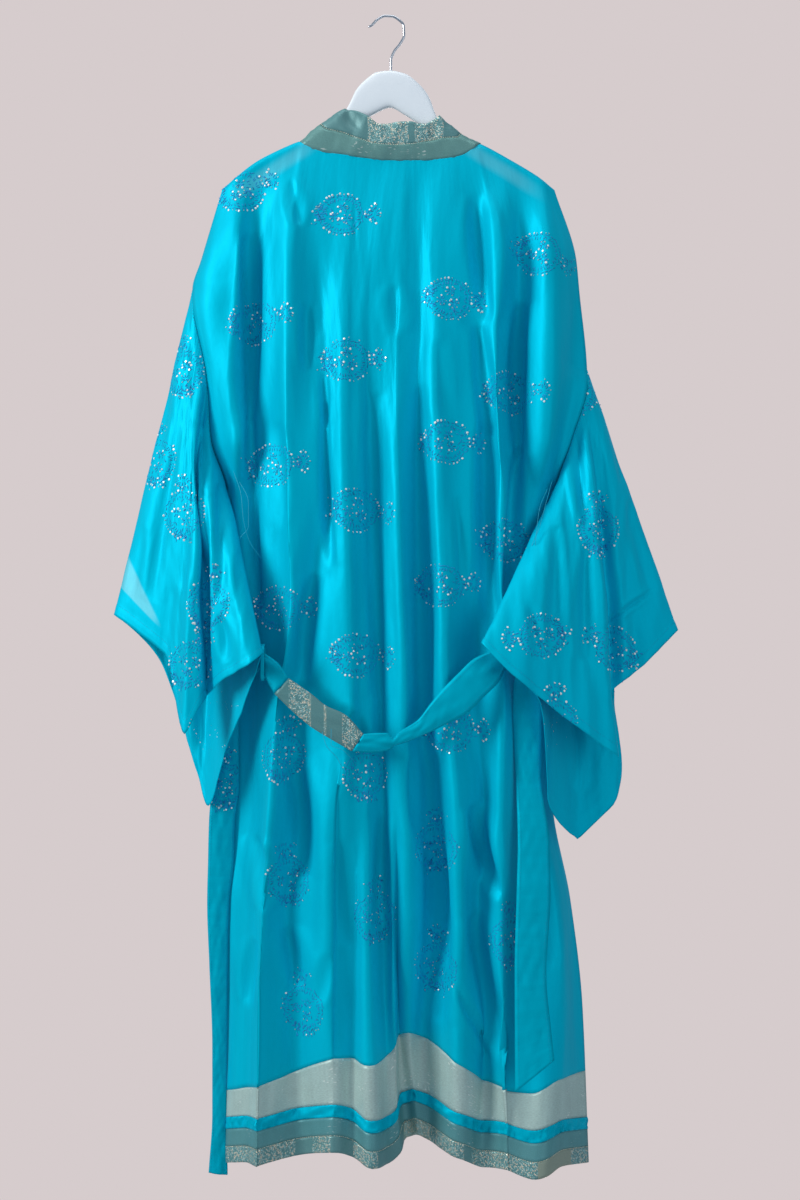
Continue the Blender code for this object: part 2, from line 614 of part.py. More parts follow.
def neckband(tops, fronts):
    """Two strips that run down the left front, round the neck and down the right front."""
    outer, joint, inner, normals = [], [], [], []

    def front_side(edge_line, sign, width):
        """Stations from the hem up to the turn below the shoulder on one front."""
        stations = []
        for point, normal in edge_line:
            rise = max(0.0, min(1.0, (point[2] + 330.0) / 150.0))
            rise = rise * rise * (3 - 2 * rise)
            wide = np.array([sign * (width * (1 - rise) + 60 * rise), (1 - rise) * 2.0, 2.0 + 43 * rise])
            joint_part = FRONT_JOINT / width + 0.1 * rise * rise
            stations.append((point, wide, normal, joint_part))
        return stations

    left = front_side(fronts[0], 1.0, FRONT_BAND_WIDTH)
    right = front_side(fronts[1], -1.0, FRONT_BAND_WIDTH)
    for point, wide, normal, joint_part in left:
        direction = unit(wide)
        base = point + direction * SEAM
        outer.append(base)
        joint.append(base + wide * joint_part)
        inner.append(base + wide)
        normals.append(normal)
    for name, panel, ox, jx, jy, jz, ix, iy, iz in NECK_STATIONS:
        edge_points, edge_normals = tops[panel]
        order = np.argsort(edge_points[:, 0])
        xs = edge_points[order, 0]
        start = np.array([np.interp(ox, xs, edge_points[order, k]) for k in range(3)])
        normal = unit(np.array([np.interp(ox, xs, edge_normals[order, k]) for k in range(3)]))
        joint_point, inner_point = np.array([jx, jy, jz], float), np.array([ix, iy, iz], float)
        if name.startswith("ridge"):
            start[1] = 0.0
            normal = in_plane(normal)
        start = start + unit(joint_point - start) * SEAM * (5 if panel != "back" else 1)
        outer.append(start)
        joint.append(joint_point)
        inner.append(inner_point)
        normals.append(normal)
    for point, wide, normal, joint_part in right[::-1]:
        direction = unit(wide)
        base = point + direction * SEAM
        outer.append(base)
        joint.append(base + wide * joint_part)
        inner.append(base + wide)
        normals.append(normal)
    outer, joint, inner, normals = (np.array(a) for a in (outer, joint, inner, normals))
    for name, first, second, finish, gap in (("neckband_outer_strip", outer, joint, "teal_zari", 0.0),
                                             ("neckband_inner_strip", joint, inner, "brocade", SEAM)):
        span = unit(second - first)
        edge = first + span * gap
        middle = (edge + second) / 2
        grid = np.array([edge, middle, second])
        along = np.gradient(grid, axis=1)
        across = np.gradient(grid, axis=0)
        turned = unit(np.cross(along, across))
        for row in turned:
            wrong = np.sum(row * normals, axis=1) < 0
            row[wrong] *= -1
        if gap == 0.0:
            turned[0] = normals
            joint_normals = turned[2].copy()
        else:
            turned[0] = joint_normals
        shell(name, grid, turned, finish)


def front_edge_line(points, normals, panel, count_top):
    """The front edge and neckline of a front, from the hem up to the turn below the shoulder."""
    line = []
    for down in (2.0, 1.75, 1.5, 1.25):
        row, row_normals = panel.grid((down,))
        line.append((row[0, -1], row_normals[0, -1]))
    for i in range(len(points) - 1, 4, -1):
        line.append((points[i, -1], normals[i, -1]))
    for j in range(points.shape[1] - 1, points.shape[1] - 1 - count_top, -1):
        line.append((points[0, j], normals[0, j]))
    return line


def ribbon(name, table, finish, thick=BELT_THICK, bow=2.0):
    """A flat strip through the edge points of a table, bowed a little across its width."""
    first = np.array([(row[1], row[5], row[2]) for row in table], float)
    second = np.array([(row[3], row[5], row[4]) for row in table], float)
    knots = np.arange(len(table))
    steps = 2 if len(table) > 4 else 3
    at = np.linspace(0, len(table) - 1, (len(table) - 1) * steps + 1)
    first, second = smooth_through(knots, first, at), smooth_through(knots, second, at)
    middle = (first + second) / 2
    middle[:, 1] -= bow
    grid = np.array([first, middle, second])
    along = np.gradient(grid, axis=1)
    across = np.gradient(grid, axis=0)
    normals = unit(np.cross(along, across))
    normals[normals[..., 1] > 0] *= -1
    shell(name, grid, normals, finish, wall=thick)


def belt_loop(name, x, y, z, turn, wide, deep):
    """A narrow strip closed round the belt."""
    angle = math.radians(turn)
    grid = []
    for half in (-LOOP_WIDE / 2, LOOP_WIDE / 2):
        row = []
        for k in range(16):
            a = 2 * math.pi * k / 16
            c, s = math.cos(a), math.sin(a)
            u = (wide / 2 + LOOP_THICK) * math.copysign(abs(c) ** 0.6, c)
            v = (deep / 2 + LOOP_THICK) * math.copysign(abs(s) ** 0.6, s)
            row.append((x + half * math.cos(angle) - u * math.sin(angle), y + v,
                        z + half * math.sin(angle) + u * math.cos(angle)))
        grid.append(row)
    grid = np.array(grid)
    centre = np.array([x, y, z])
    out = grid - centre
    out -= np.sum(out * np.array([math.cos(angle), 0, math.sin(angle)]), axis=-1, keepdims=True) \
        * np.array([math.cos(angle), 0, math.sin(angle)])
    shell(name, grid, unit(out), "belt_silk", wall=LOOP_THICK, ring=True)


def hanger():
    """The wood as rounded sections set side by side along x."""
    half = WOOD_THICK / 2
    verts, faces = [], []
    for x, top, under in HANGER:
        middle, reach = (top + under) / 2, (top - under) / 2
        end = min(1.0, 0.45 + min(x - HANGER[0][0], HANGER[-1][0] - x) / 5.0)
        for k in range(12):
            a = 2 * math.pi * (k + 0.5) / 12
            c, s = math.cos(a), math.sin(a)
            verts.append((x, half * end * math.copysign(abs(c) ** 0.55, c),
                          middle + reach * math.copysign(abs(s) ** 0.55, s)))
    sections = len(HANGER)
    for i in range(sections - 1):
        for k in range(12):
            faces.append((i * 12 + k, i * 12 + (k + 1) % 12, (i + 1) * 12 + (k + 1) % 12, (i + 1) * 12 + k))
    faces.append(tuple(range(11, -1, -1)))
    faces.append(tuple((sections - 1) * 12 + k for k in range(12)))
    solid("hanger_body", np.array(verts) * MM, faces, "white_paint")

    path = np.array(HOOK, float)
    knots = np.concatenate([[0], np.cumsum(np.linalg.norm(np.diff(path, axis=0), axis=1))])
    line = smooth_through(knots, path, np.linspace(0, knots[-1], 30))
    verts, faces = [], []
    along = unit(np.gradient(line, axis=0))
    for point, tangent in zip(line, along):
        side = np.array([-tangent[1], tangent[0]])
        for k in range(8):
            a = 2 * math.pi * k / 8
            offset = side * WIRE_RADIUS * math.cos(a)
            verts.append((point[0] + offset[0], WIRE_RADIUS * math.sin(a), point[1] + offset[1]))
    for i in range(len(line) - 1):
        for k in range(8):
            faces.append((i * 8 + k, i * 8 + (k + 1) % 8, (i + 1) * 8 + (k + 1) % 8, (i + 1) * 8 + k))
    faces.append(tuple(range(7, -1, -1)))
    faces.append(tuple((len(line) - 1) * 8 + k for k in range(8)))
    solid("hanger_hook", np.array(verts) * MM, faces, "chrome")


def build():
    clear_scene()
    hanger()
    armholes = {"seam_left": ARMHOLE_LEFT, "seam_right": ARMHOLE_RIGHT}
    left_panel = Panel(FRONT_LEFT, FRONT_COLUMNS, {"seam": ARMHOLE_LEFT})
    right_panel = Panel(FRONT_RIGHT, FRONT_COLUMNS, {"seam": ARMHOLE_RIGHT})
    back = body_panels("back_panel", Panel(BACK, BACK_COLUMNS, armholes))
    left = body_panels("front_left_panel", left_panel)
    right = body_panels("front_right_panel", right_panel)
    sleeve("sleeve_left", SLEEVE_LEFT, back, left, 0, ARMHOLE_LEFT)
    sleeve("sleeve_right", SLEEVE_RIGHT, back, right, back[0].shape[1] - 1, ARMHOLE_RIGHT)
    tops = {"back": (back[0][0], back[1][0]), "left": (left[0][0], left[1][0]),
            "right": (right[0][0], right[1][0])}
    neckband(tops, (front_edge_line(*left, left_panel, sum(FRONT_COLUMNS[4:])),
                    front_edge_line(*right, right_panel, sum(FRONT_COLUMNS[4:]))))
    ribbon("belt_left_run", BELT_LEFT_RUN, "belt_silk")
    ribbon("belt_patch", BELT_PATCH, "brocade")
    ribbon("belt_right_run", BELT_RIGHT_RUN, "belt_silk")
    ribbon("belt_left_end", BELT_LEFT_END, "belt_silk")
    ribbon("belt_right_end", BELT_RIGHT_END, "belt_silk")
    for row in LOOPS:
        belt_loop(*row)


build()
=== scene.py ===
"""Silk kimono robe with a tied belt on a coat hanger: the cloth, its sewing and its finishes.

Sizes in the tables are in millimetres, positions are in the row frame: the inner top of the hook
is the origin, +Z is up, the back of the robe faces -Y and the wearer's left is -X.
"""

import math
import random

import bmesh
import bpy
import numpy as np
from bpy.props import FloatProperty, FloatVectorProperty, PointerProperty
from mathutils import Matrix, Vector, kdtree
from mathutils.bvhtree import BVHTree


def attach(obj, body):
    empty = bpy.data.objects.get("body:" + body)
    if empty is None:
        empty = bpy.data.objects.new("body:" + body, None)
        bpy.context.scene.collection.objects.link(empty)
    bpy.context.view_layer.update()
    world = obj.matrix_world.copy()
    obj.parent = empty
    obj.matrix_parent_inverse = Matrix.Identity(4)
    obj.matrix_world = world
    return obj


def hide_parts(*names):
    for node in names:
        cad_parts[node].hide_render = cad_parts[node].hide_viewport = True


bl_info = {
    "name": "Hanging Silk Robe",
    "version": (1, 0, 0),
    "blender": (4, 5, 0),
    "location": "View3D > Sidebar > Robe",
    "description": "Builds a hanging embroidered silk robe with its belt, hanger, light and camera",
    "category": "Object",
}

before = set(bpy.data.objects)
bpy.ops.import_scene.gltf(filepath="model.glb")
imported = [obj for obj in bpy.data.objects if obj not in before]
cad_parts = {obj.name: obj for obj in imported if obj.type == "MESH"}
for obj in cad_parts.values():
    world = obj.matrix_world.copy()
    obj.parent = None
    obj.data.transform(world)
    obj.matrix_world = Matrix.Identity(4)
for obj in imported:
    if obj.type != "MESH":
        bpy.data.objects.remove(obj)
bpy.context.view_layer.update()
MM = 0.001


# Cloth
CLOTH = 0.8           # thickness of the silk, mm
BAND_CLOTH = 0.9      # thickness of the hem bands and the loops, mm
NECKBAND_CLOTH = 1.3
BELT_CLOTH = 1.4
SEAM = 0.3            # clearance at a seam, mm
HALF = SEAM / 2
PITCH = 4.2           # aimed distance between the columns of a body panel, mm
ROW_PITCH = 5.4       # the same between its rows, mm
BELT_PITCH = 3.6      # the same along the belt, mm
NECK_PITCH = 4.0      # the same along the neckband, mm
PANEL_LENGTH = 1350.0

# Hem bands, depth of each from the panel down to the hem
SILVER_BAND = 68.0
TURQUOISE_BAND = 16.0
TEAL_BAND = 24.0
PATCH_HEM = 22.0
BORDER = SILVER_BAND + TURQUOISE_BAND + TEAL_BAND + PATCH_HEM

# Roll of the cloth over the hanger and the shoulder folds
ROLL_FALL = 9.0
ROLL_REACH = 9.6
ROLL_FADE = 60.0      # how far down the roll begins to fade, and where it has gone
ROLL_END = 160.0

FRONT_BAND_WIDTH = 48.0   # the neckband down a front, and the part of it outside its joint
FRONT_JOINT = 17.0

WOOD_THICK = 13.0
WIRE_RADIUS = 1.75
THREAD_RADIUS = 0.35

# Heights at which the folds of the body are given
LEVELS = (-333, -374, -497, -580, -648, -799, -936, -1073, -1210, -1347, -1566)

ARMHOLE_LEFT = (0.115, 0.342, 22.0)     # rows where it starts and ends, and its half depth
ARMHOLE_RIGHT = (0.205, 0.342, 17.0)
ARMHOLE_SHAPE = ((0.0, 0.0), (0.12, 0.62), (0.45, 1.0), (0.78, 0.85), (0.92, 0.5), (1.0, 0.0))

# Folds of the back panel from its left edge to its right edge:
# name, top x, top z, top y, hem z, x at each level, y at each level
BACK = (
    ("seam_left", -227, -236, -HALF, -1569,
     (-256, -268, -246, -240, -221, -222, -216, -215, -221, -223, -224), None),
    ("drop_left", -206, -218, -HALF, -1561,
     (-203, -206, -214, -203, -182, -189, -189, -188, -205, -206, -207),
     (-40, -42, -48, -44, -16, -14, -14, -16, -20, -22, -26)),
    ("trough_1", -178, -197, -HALF, -1556,
     (-178, -181, -187, -181, -175, -176, -176, -176, -192, -191, -191),
     (-16, -15, -11, -12, -18, -24, -30, -34, -36, -38, -44)),
    ("ridge_2", -122, -171, -HALF, -1550,
     (-134, -134, -135, -136, -136, -130, -148, -156, -167, -172, -174),
     (-44, -49, -62, -66, -70, -76, -76, -78, -74, -76, -86)),
    ("neck_left", -116.5, -175.5, -9.5, -1549,
     (-130, -129, -127, -128, -128, -126, -143, -151, -162, -166, -167),
     (-43, -47, -60, -65, -69, -75, -74, -74, -70, -72, -83)),
    ("trough_3", -89, -187, -11, -1543,
     (-109, -102, -83, -80, -80, -103, -115, -118, -132, -129, -118),
     (-34, -38, -48, -50, -50, -54, -50, -44, -42, -46, -56)),
    ("ridge_4", -54, -192, -12, -1529,
     (-58, -59, -60, -60, -58, -53, -50, -68, -70, -71, -71),
     (-42, -47, -62, -66, -70, -80, -84, -86, -82, -86, -94)),
    ("trough_4", -38, -195, -12, -1538,
     (-46, -47, -49, -48, -45, -38, -36, -44, -42, -44, -47),
     (-40, -44, -56, -60, -62, -68, -72, -70, -62, -64, -84)),
    ("ridge_5", -22, -197, -12, -1548,
     (-33, -35, -39, -36, -30, -24, -21, -28, -27, -25, -20),
     (-39, -43, -52, -54, -56, -62, -66, -72, -76, -84, -100)),
    ("trough_5", -5, -199, -12, -1549,
     (-21, -23, -27, -24, -17, -10, -8, -5, -4, -2, 4),
     (-38, -40, -46, -48, -50, -50, -48, -46, -46, -56, -74)),
    ("fold_front", 4, -199, -12, -1536,
     (-9, -10, -13, -10, -5, 0, 4, 6, 6, 8, 27),
     (-39, -42, -52, -56, -58, -60, -60, -56, -57, -64, -56)),
    ("fold_back", 12, -199, -12, -1528,
     (2, 1, -2, -1, 3, 8, 12, 13, 12, 13, 32),
     (-40, -45, -58, -62, -66, -68, -68, -60, -47, -37, -26)),
    ("ridge_6", 23, -199, -12, -1522,
     (16, 15, 11, 12, 14, 18, 24, 27, 24, 26, 44),
     (-42, -47, -62, -68, -74, -78, -76, -68, -56, -45, -32)),
    ("trough_7", 42, -199, -12, -1529,
     (42, 42, 42, 38, 39, 41, 47, 54, 57, 49, 57),
     (-30, -32, -38, -40, -42, -44, -46, -34, -30, -28, -34)),
    ("ridge_8", 71, -197, -12, -1542,
     (66, 66, 67, 67, 67, 72, 80, 92, 96, 92, 94),
     (-42, -47, -60, -66, -72, -78, -78, -80, -78, -78, -66)),
    ("trough_9", 100, -192, -11, -1559,
     (122, 121, 119, 131, 134, 128, 121, 131, 124, 127, 130),
     (-30, -31, -36, -40, -44, -50, -54, -50, -46, -46, -60)),
    ("neck_right", 120.5, -178.5, -9.5, -1556,
     (147, 145, 141, 146, 148, 148, 149, 147, 148, 149, 155),
     (-39, -43, -54, -58, -60, -64, -66, -70, -70, -74, -83)),
    ("ridge_10", 126, -174, -HALF, -1556,
     (151, 149, 145, 150, 152, 153, 154, 151, 152, 153, 160),
     (-40, -44, -56, -60, -62, -66, -68, -72, -72, -78, -86)),
    ("trough_11", 171, -198, -HALF, -1566,
     (180, 181, 182, 179, 174, 168, 173, 180, 186, 191, 194),
     (-16, -15, -11, -12, -18, -30, -40, -48, -52, -56, -84)),
    ("drop_right", 207, -220, -HALF, -1557,
     (216, 216, 217, 213, 198, 183, 195, 203, 221, 231, 233),
     (-40, -42, -48, -44, -22, -16, -26, -32, -44, -56, -66)),
    ("seam_right", 228, -237, -HALF, -1569,
     (258, 262, 273, 250, 229, 220, 221, 225, 250, 266, 275), None),
)

# Folds of the fronts, each from its side seam to its front edge
FRONT_LEFT = (
    ("seam", -227, -236, HALF, -1569,
     (-256, -268, -246, -240, -221, -222, -216, -215, -221, -223, -224), None),
    ("drop", -206, -218, HALF, -1566,
     (-206, -208, -214, -203, -182, -190, -190, -188, -206, -208, -209),
     (40, 42, 46, 42, 26, 28, 30, 32, 36, 38, 40)),
    ("trough", -178, -197, HALF, -1564,
     (-176, -178, -184, -176, -166, -166, -164, -164, -176, -178, -180),
     (24, 24, 24, 26, 40, 48, 52, 56, 60, 62, 66)),
    ("ridge", -122, -171, HALF, -1562,
     (-132, -133, -134, -134, -134, -132, -134, -136, -142, -146, -150),
     (44, 48, 60, 64, 70, 78, 84, 88, 90, 92, 98)),
    ("neck_turn", -117.5, -179, 10, -1561,
     (-124, -125, -126, -126, -126, -124, -126, -128, -134, -138, -141),
     (42, 46, 58, 62, 68, 76, 81, 84, 86, 88, 93)),
    ("hollow", -101, -232, 16, -1558,
     (-99, -99, -98, -97, -97, -98, -100, -104, -106, -108, -110),
     (30, 34, 46, 50, 54, 58, 60, 60, 62, 62, 62)),
    ("swell", -84, -305, 26, -1556,
     (-82, -81, -79, -78, -77, -77, -78, -80, -82, -84, -86),
     (29, 34, 48, 56, 62, 70, 76, 80, 84, 86, 90)),
    ("front_edge", -70, -385, 34, -1552,
     (-70, -69, -66, -64, -62, -60, -58, -58, -60, -62, -64),
     (34, 36, 42, 48, 52, 58, 62, 66, 70, 72, 76)),
)
FRONT_RIGHT = (
    ("seam", 228, -237, HALF, -1569,
     (258, 262, 273, 250, 229, 220, 221, 225, 250, 266, 275), None),
    ("drop", 207, -220, HALF, -1562,
     (220, 220, 218, 213, 198, 182, 198, 204, 230, 254, 270),
     (40, 42, 46, 42, 26, 26, 30, 32, 38, 42, 46)),
    ("trough", 171, -198, HALF, -1564,
     (182, 183, 184, 178, 172, 170, 174, 178, 190, 204, 214),
     (24, 24, 24, 26, 40, 48, 52, 56, 60, 62, 66)),
    ("ridge", 126, -174, HALF, -1562,
     (140, 141, 142, 142, 142, 142, 144, 146, 152, 160, 168),
     (44, 48, 60, 64, 70, 78, 84, 88, 90, 92, 98)),
    ("neck_turn", 121, -182, 10, -1561,
     (132, 133, 134, 134, 134, 134, 136, 138, 144, 151, 158),
     (42, 46, 58, 62, 68, 76, 81, 84, 86, 88, 93)),
    ("hollow", 105, -235, 16, -1558,
     (104, 104, 104, 104, 104, 106, 108, 112, 116, 120, 124),
     (30, 34, 46, 50, 54, 58, 60, 60, 62, 62, 62)),
    ("swell", 88, -308, 26, -1556,
     (87, 86, 84, 83, 83, 84, 86, 88, 92, 96, 98),
     (29, 34, 48, 56, 62, 70, 76, 80, 84, 86, 90)),
    ("front_edge", 75, -388, 34, -1552,
     (75, 74, 71, 69, 68, 67, 67, 68, 71, 74, 77),
     (34, 36, 42, 48, 52, 58, 62, 66, 70, 72, 76)),
)

# Folds of the sleeves, each running from the armhole to the cuff:
# name, side, fraction of the way down the armhole, cuff x, y, z, swell in y half way,
# swing in x just below the armhole
SLEEVE_LEFT = (
    ("top_fold", "back", 0.00, -376, 5, -819, 2, 0),
    ("flare", "back", 0.10, -338, -20, -844, -8, -2),
    ("flare_edge", "back", 0.22, -294, -42, -882, -10, -5),
    ("flare_corner", "back", 0.29, -284, -54, -932, -12, -7),
    ("fold_ridge", "back", 0.36, -271, -78, -977, -14, -9),
    ("fold_edge", "back", 0.44, -251, -72, -940, -16, -11),
    ("fold_inner", "back", 0.54, -244, -48, -929, -6, -13),
    ("near_ridge", "back", 0.66, -227, -74, -911, -16, -16),
    ("near_swell", "back", 0.78, -202, -98, -895, -14, -12),
    ("near_edge", "back", 0.90, -180, -118, -882, -12, -4),
    ("underarm", "back", 1.00, -163, -106, -868, -6, 3),
    ("far_edge", "front", 0.90, -182, -84, -913, 6, -1),
    ("far_swell", "front", 0.76, -214, -48, -990, 14, -6),
    ("low_corner", "front", 0.62, -244, -16, -1079, 18, -14),
    ("far_fold", "front", 0.48, -262, 2, -1035, 16, -10),
    ("far_hollow", "front", 0.34, -287, 18, -959, 12, -6),
    ("far_flare", "front", 0.20, -316, 26, -882, 10, -3),
    ("far_top", "front", 0.10, -348, 18, -843, 8, -1),
)
SLEEVE_RIGHT = (
    ("top_fold", "back", 0.00, 398, 6, -840, 2, 0),
    ("flare", "back", 0.14, 344, -18, -891, -8, 2),
    ("fold_inner", "back", 0.30, 304, -28, -930, -4, 5),
    ("fold_ridge", "back", 0.44, 308, -66, -1008, -14, 9),
    ("near_swell", "back", 0.58, 254, -92, -969, -16, 10),
    ("near_edge", "back", 0.74, 204, -114, -930, -14, 8),
    ("near_corner", "back", 0.88, 156, -134, -889, -14, 0),
    ("underarm", "back", 1.00, 123, -120, -855, -8, -4),
    ("far_corner", "front", 0.90, 156, -106, -889, 0, -1),
    ("far_edge", "front", 0.81, 202, -97, -936, 4, 4),
    ("far_fall", "front", 0.73, 210, -86, -1000, 12, 12),
    ("far_fold", "front", 0.64, 213, -68, -1066, 16, 15),
    ("low_near", "front", 0.59, 236, -50, -1104, 18, 13),
    ("corner_near", "front", 0.555, 253, -38, -1118, 18, 12),
    ("low_corner", "front", 0.54, 257, -35, -1122, 18, 12),
    ("corner_far", "front", 0.525, 263, -32, -1117, 18, 11),
    ("low_side", "front", 0.48, 290, -22, -1093, 17, 10),
    ("far_turn", "front", 0.43, 311, -12, -1071, 16, 9),
    ("turn_top", "front", 0.33, 320, 4, -1025, 14, 7),
    ("far_hollow", "front", 0.22, 312, 20, -923, 12, 4),
    ("far_flare", "front", 0.11, 355, 22, -875, 8, 2),
)
SLEEVE_MEETS = 0.35   # how far outside the armhole edge a sleeve begins

# Neckband round the neck, left to right: name, panel it meets, outer x, joint x, y, z, inner x, y, z
NECK_STATIONS = (
    ("turn_left", "left", -117.5, -90, 10.4, -157, -57, 9.8, -133),
    ("front_crest_left", "left", -119.7, -91, 6.4, -149.5, -58.5, 6.3, -127.3),
    ("ridge_left", "back", -122, -93, 0, -147, -60, 0, -126),
    ("crest_left", "back", -119.3, -90.5, -6, -149, -58.5, -6, -127),
    ("roll_left", "back", -116.5, -86, -9.8, -154, -55.5, -9.8, -129),
    ("side_left", "back", -92, -62, -12, -161, -42, -12, -132),
    ("turn_in_left", "back", -54, -36, -15, -171, -26, -14, -140),
    ("mid_left", "back", -22, -16, -17, -177, -12, -16, -150),
    ("middle", "back", 4, 4, -18, -179, 4, -17, -149),
    ("mid_right", "back", 30, 29, -17, -178, 28, -16, -147),
    ("turn_in_right", "back", 58, 53, -15, -173, 50, -14, -150),
    ("side_right", "back", 94, 80, -12, -168, 58, -12, -146),
    ("roll_right", "back", 120.5, 95, -9.8, -167, 67, -9.8, -140),
    ("crest_right", "back", 123.2, 98.5, -6, -162, 70, -6, -137),
    ("ridge_right", "back", 126, 100, 0, -160, 71, 0, -136),
    ("front_crest_right", "right", 123.5, 98.5, 6.4, -162.5, 70, 6.3, -137.2),
    ("turn_right", "right", 121, 96, 10.4, -169, 68, 9.8, -142),
)

# Hanger, from its left end to its right end: x, top z, underside z
HANGER = (
    (-212, -236, -241), (-208, -231, -245), (-198, -223, -242), (-184, -214, -234), (-150, -195, -219),
    (-122, -179, -204), (-93, -154, -184), (-60, -131, -159), (-52, -118, -154), (-44, -101, -149),
    (-29, -85, -139), (-15, -76, -131), (3, -74, -124), (23, -78, -134), (40, -90, -145),
    (55, -108, -155), (61, -122, -160), (65, -135, -163), (72, -144, -168), (100, -167, -190),
    (126, -183, -208), (166, -206, -229), (200, -225, -246), (218, -239, -252), (222, -245, -249),
)

# Hook, from the wood to its tip: x, z
HOOK = (
    (4, -74.15), (4, -60), (8, -48), (17, -36), (22, -25), (21.4, -12), (15, -4), (5.5, 1), (-4, 1.4),
    (-15, -4), (-22, -11), (-27, -14),
)

# Belt, two edges at each station: name, upper or left x, z, lower or right x, z, y
BELT_LEFT_RUN = (
    ("loop", -166, -868, -167.5, -888, -81),
    ("spread", -146, -881, -160, -905, -87),
    ("patch_start", -131, -901, -150, -922, -92),
)
BELT_PATCH = (
    ("start", -130.5, -902, -149.5, -922.6, -92),
    ("first", -100, -923, -122, -949, -95),
    ("second", -81, -938, -101, -966, -97),
    ("third", -57, -949, -80, -979, -98),
    ("end", -32, -975, -47, -998, -98),
)
BELT_RIGHT_RUN = (
    ("start", -31.5, -975.3, -46.5, -998.4, -98),
    ("flat", -14, -974, -20, -1000, -97),
    ("narrow", 1, -974, 4, -996, -95),
    ("pinch", 6, -982, 8, -992, -94),
    ("widen", 14, -974, 24, -987, -93),
    ("rise", 40, -957, 55, -974, -93),
    ("broad", 57, -935, 81, -961, -94),
    ("steep", 74, -915, 104, -949, -94),
    ("upper", 95, -894, 128, -926, -92),
    ("near_loop", 115, -876, 149, -905, -88),
    ("hidden", 136, -867, 158, -887, -81),
    ("loop", 168, -858, 168, -878, -77),
)
BELT_LEFT_END = (
    ("loop", -167.2, -867.8, -168.7, -888, -80),
    ("turn", -182, -882, -175, -897, -66),
    ("behind", -198, -903, -187, -915, -48),
    ("fall", -216, -936, -200, -938, -28),
    ("spread", -230, -990, -203, -991, -14),
    ("widest", -239, -1045, -203, -1046, -9),
    ("motif", -244.5, -1100, -209, -1100, -7),
    ("side", -246, -1160, -211, -1160, -7),
    ("taper", -247, -1212, -217, -1212, -8),
    ("low", -244, -1297, -219, -1297, -8),
    ("knee", -240, -1411, -220, -1411, -8),
    ("shin", -240, -1500, -220.5, -1500, -8),
    ("tip", -245, -1581, -219, -1584, -8),
)
BELT_RIGHT_END = (
    ("loop", 168.7, -878, 168.7, -858, -77),
    ("turn", 170.5, -886, 187, -870, -74),
    ("gather", 171, -898, 197, -889, -68),
    ("emerge", 168, -913, 203, -905, -62),
    ("fall", 167, -945, 206, -945, -60),
    ("straight", 171, -1035, 205, -1035, -64),
    ("side", 173, -1118, 215, -1118, -76),
    ("widest", 171, -1186, 216, -1186, -84),
    ("low", 168, -1295, 210, -1295, -90),
    ("flare", 168, -1385, 216, -1366, -95),
    ("tip", 168, -1447, 220, -1405, -100),
)

# Belt loops: name, node, centre x, y, z, inner width and depth
LOOPS = (
    ("tie_loop_left", "belt_loop_left", -166, -67.15, -882.0, 47, 41),
    ("tie_loop_right", "belt_loop_right", 163, -71.35, -866.4, 40, 31),
)
LOOP_WIDE = 5.0
LOOP_THICK = 1.2

# Creases: x and z of both ends, width, depth and bow, all in mm
BACK_CREASES = (
    (-184, -300, -188, -560, 10, 6.5, 3), (-188, -545, -172, -812, 9, 6.0, -5),
    (181, -395, 179, -610, 10, 6.5, -2), (179, -590, 160, -803, 9, 6.0, -3),
    (45, -510, 50, -940, 13, 4.6, 3), (-18, -520, -14, -930, 12, 3.8, -2),
    (-66, -1000, -64, -1405, 11, 4.8, 2), (60, -1000, 62, -1365, 15, 5.4, 3),
    (-131, -230, -122, -292, 8, 3.6, 2), (-110, -400, -107, -490, 8, 3.2, 1),
    (-86, -492, -81, -565, 6, 3.2, 0), (-84, -531, -74, -755, 7, 3.6, -3),
    (8, -376, 12, -440, 9, 3.0, 1), (119, -246, 136, -420, 10, 5.0, -3),
    (122, -426, 133, -580, 10, 4.4, 2), (130, -560, 148, -870, 12, 5.0, -4),
    (92, -660, 97, -775, 5, 2.8, 2), (-98, -765, -112, -905, 11, 4.4, -3),
    (-178, -1118, -167, -1212, 11, 5.0, 4), (-126, -1010, -112, -1172, 12, 5.0, 5),
    (-136, -1240, -121, -1318, 11, 3.6, 2), (-80, -1270, -90, -1335, 7, 2.4, 1),
    (-184, -1256, -192, -1345, 8, 3.2, -2), (115, -1072, 152, -1196, 10, 5.2, -5),
    (116, -1219, 158, -1420, 12, 5.4, -4), (92, -1312, 139, -1420, 4.5, 2.6, -2),
    (-45, -256, -43, -328, 2.2, 0.8, 0), (-91, -402, -89, -440, 2.0, 0.8, 0),
    (-60, -940, -30, -1000, 9, 2.6, 3), (30, -1010, 44, -1130, 9, 2.8, -4),
    (-8, -1090, -14, -1240, 8, 2.8, 2), (60, -1130, 72, -1290, 12, 3.2, 3),
    (-60, -1120, -52, -1260, 10, 3.0, -3), (-150, -560, -146, -700, 9, 2.4, 2),
    (70, -450, 78, -560, 10, 2.2, -2), (175, -1240, 190, -1400, 8, 2.6, 3),
    (205, -1130, 224, -1290, 8, 2.6, -3),
)
FRONT_LEFT_CREASES = (
    (-170, -420, -158, -560, 10, 4.0, 3), (-150, -600, -146, -850, 11, 4.6, -4),
    (-112, -700, -118, -980, 9, 3.8, 3), (-90, -480, -84, -640, 8, 3.0, -2),
    (-176, -940, -166, -1180, 11, 4.8, 4), (-128, -1020, -134, -1300, 10, 4.4, -4),
    (-96, -1100, -90, -1330, 8, 3.4, 3), (-160, -1240, -172, -1420, 10, 4.0, -3),
    (-80, -820, -76, -960, 7, 2.6, 2),
)
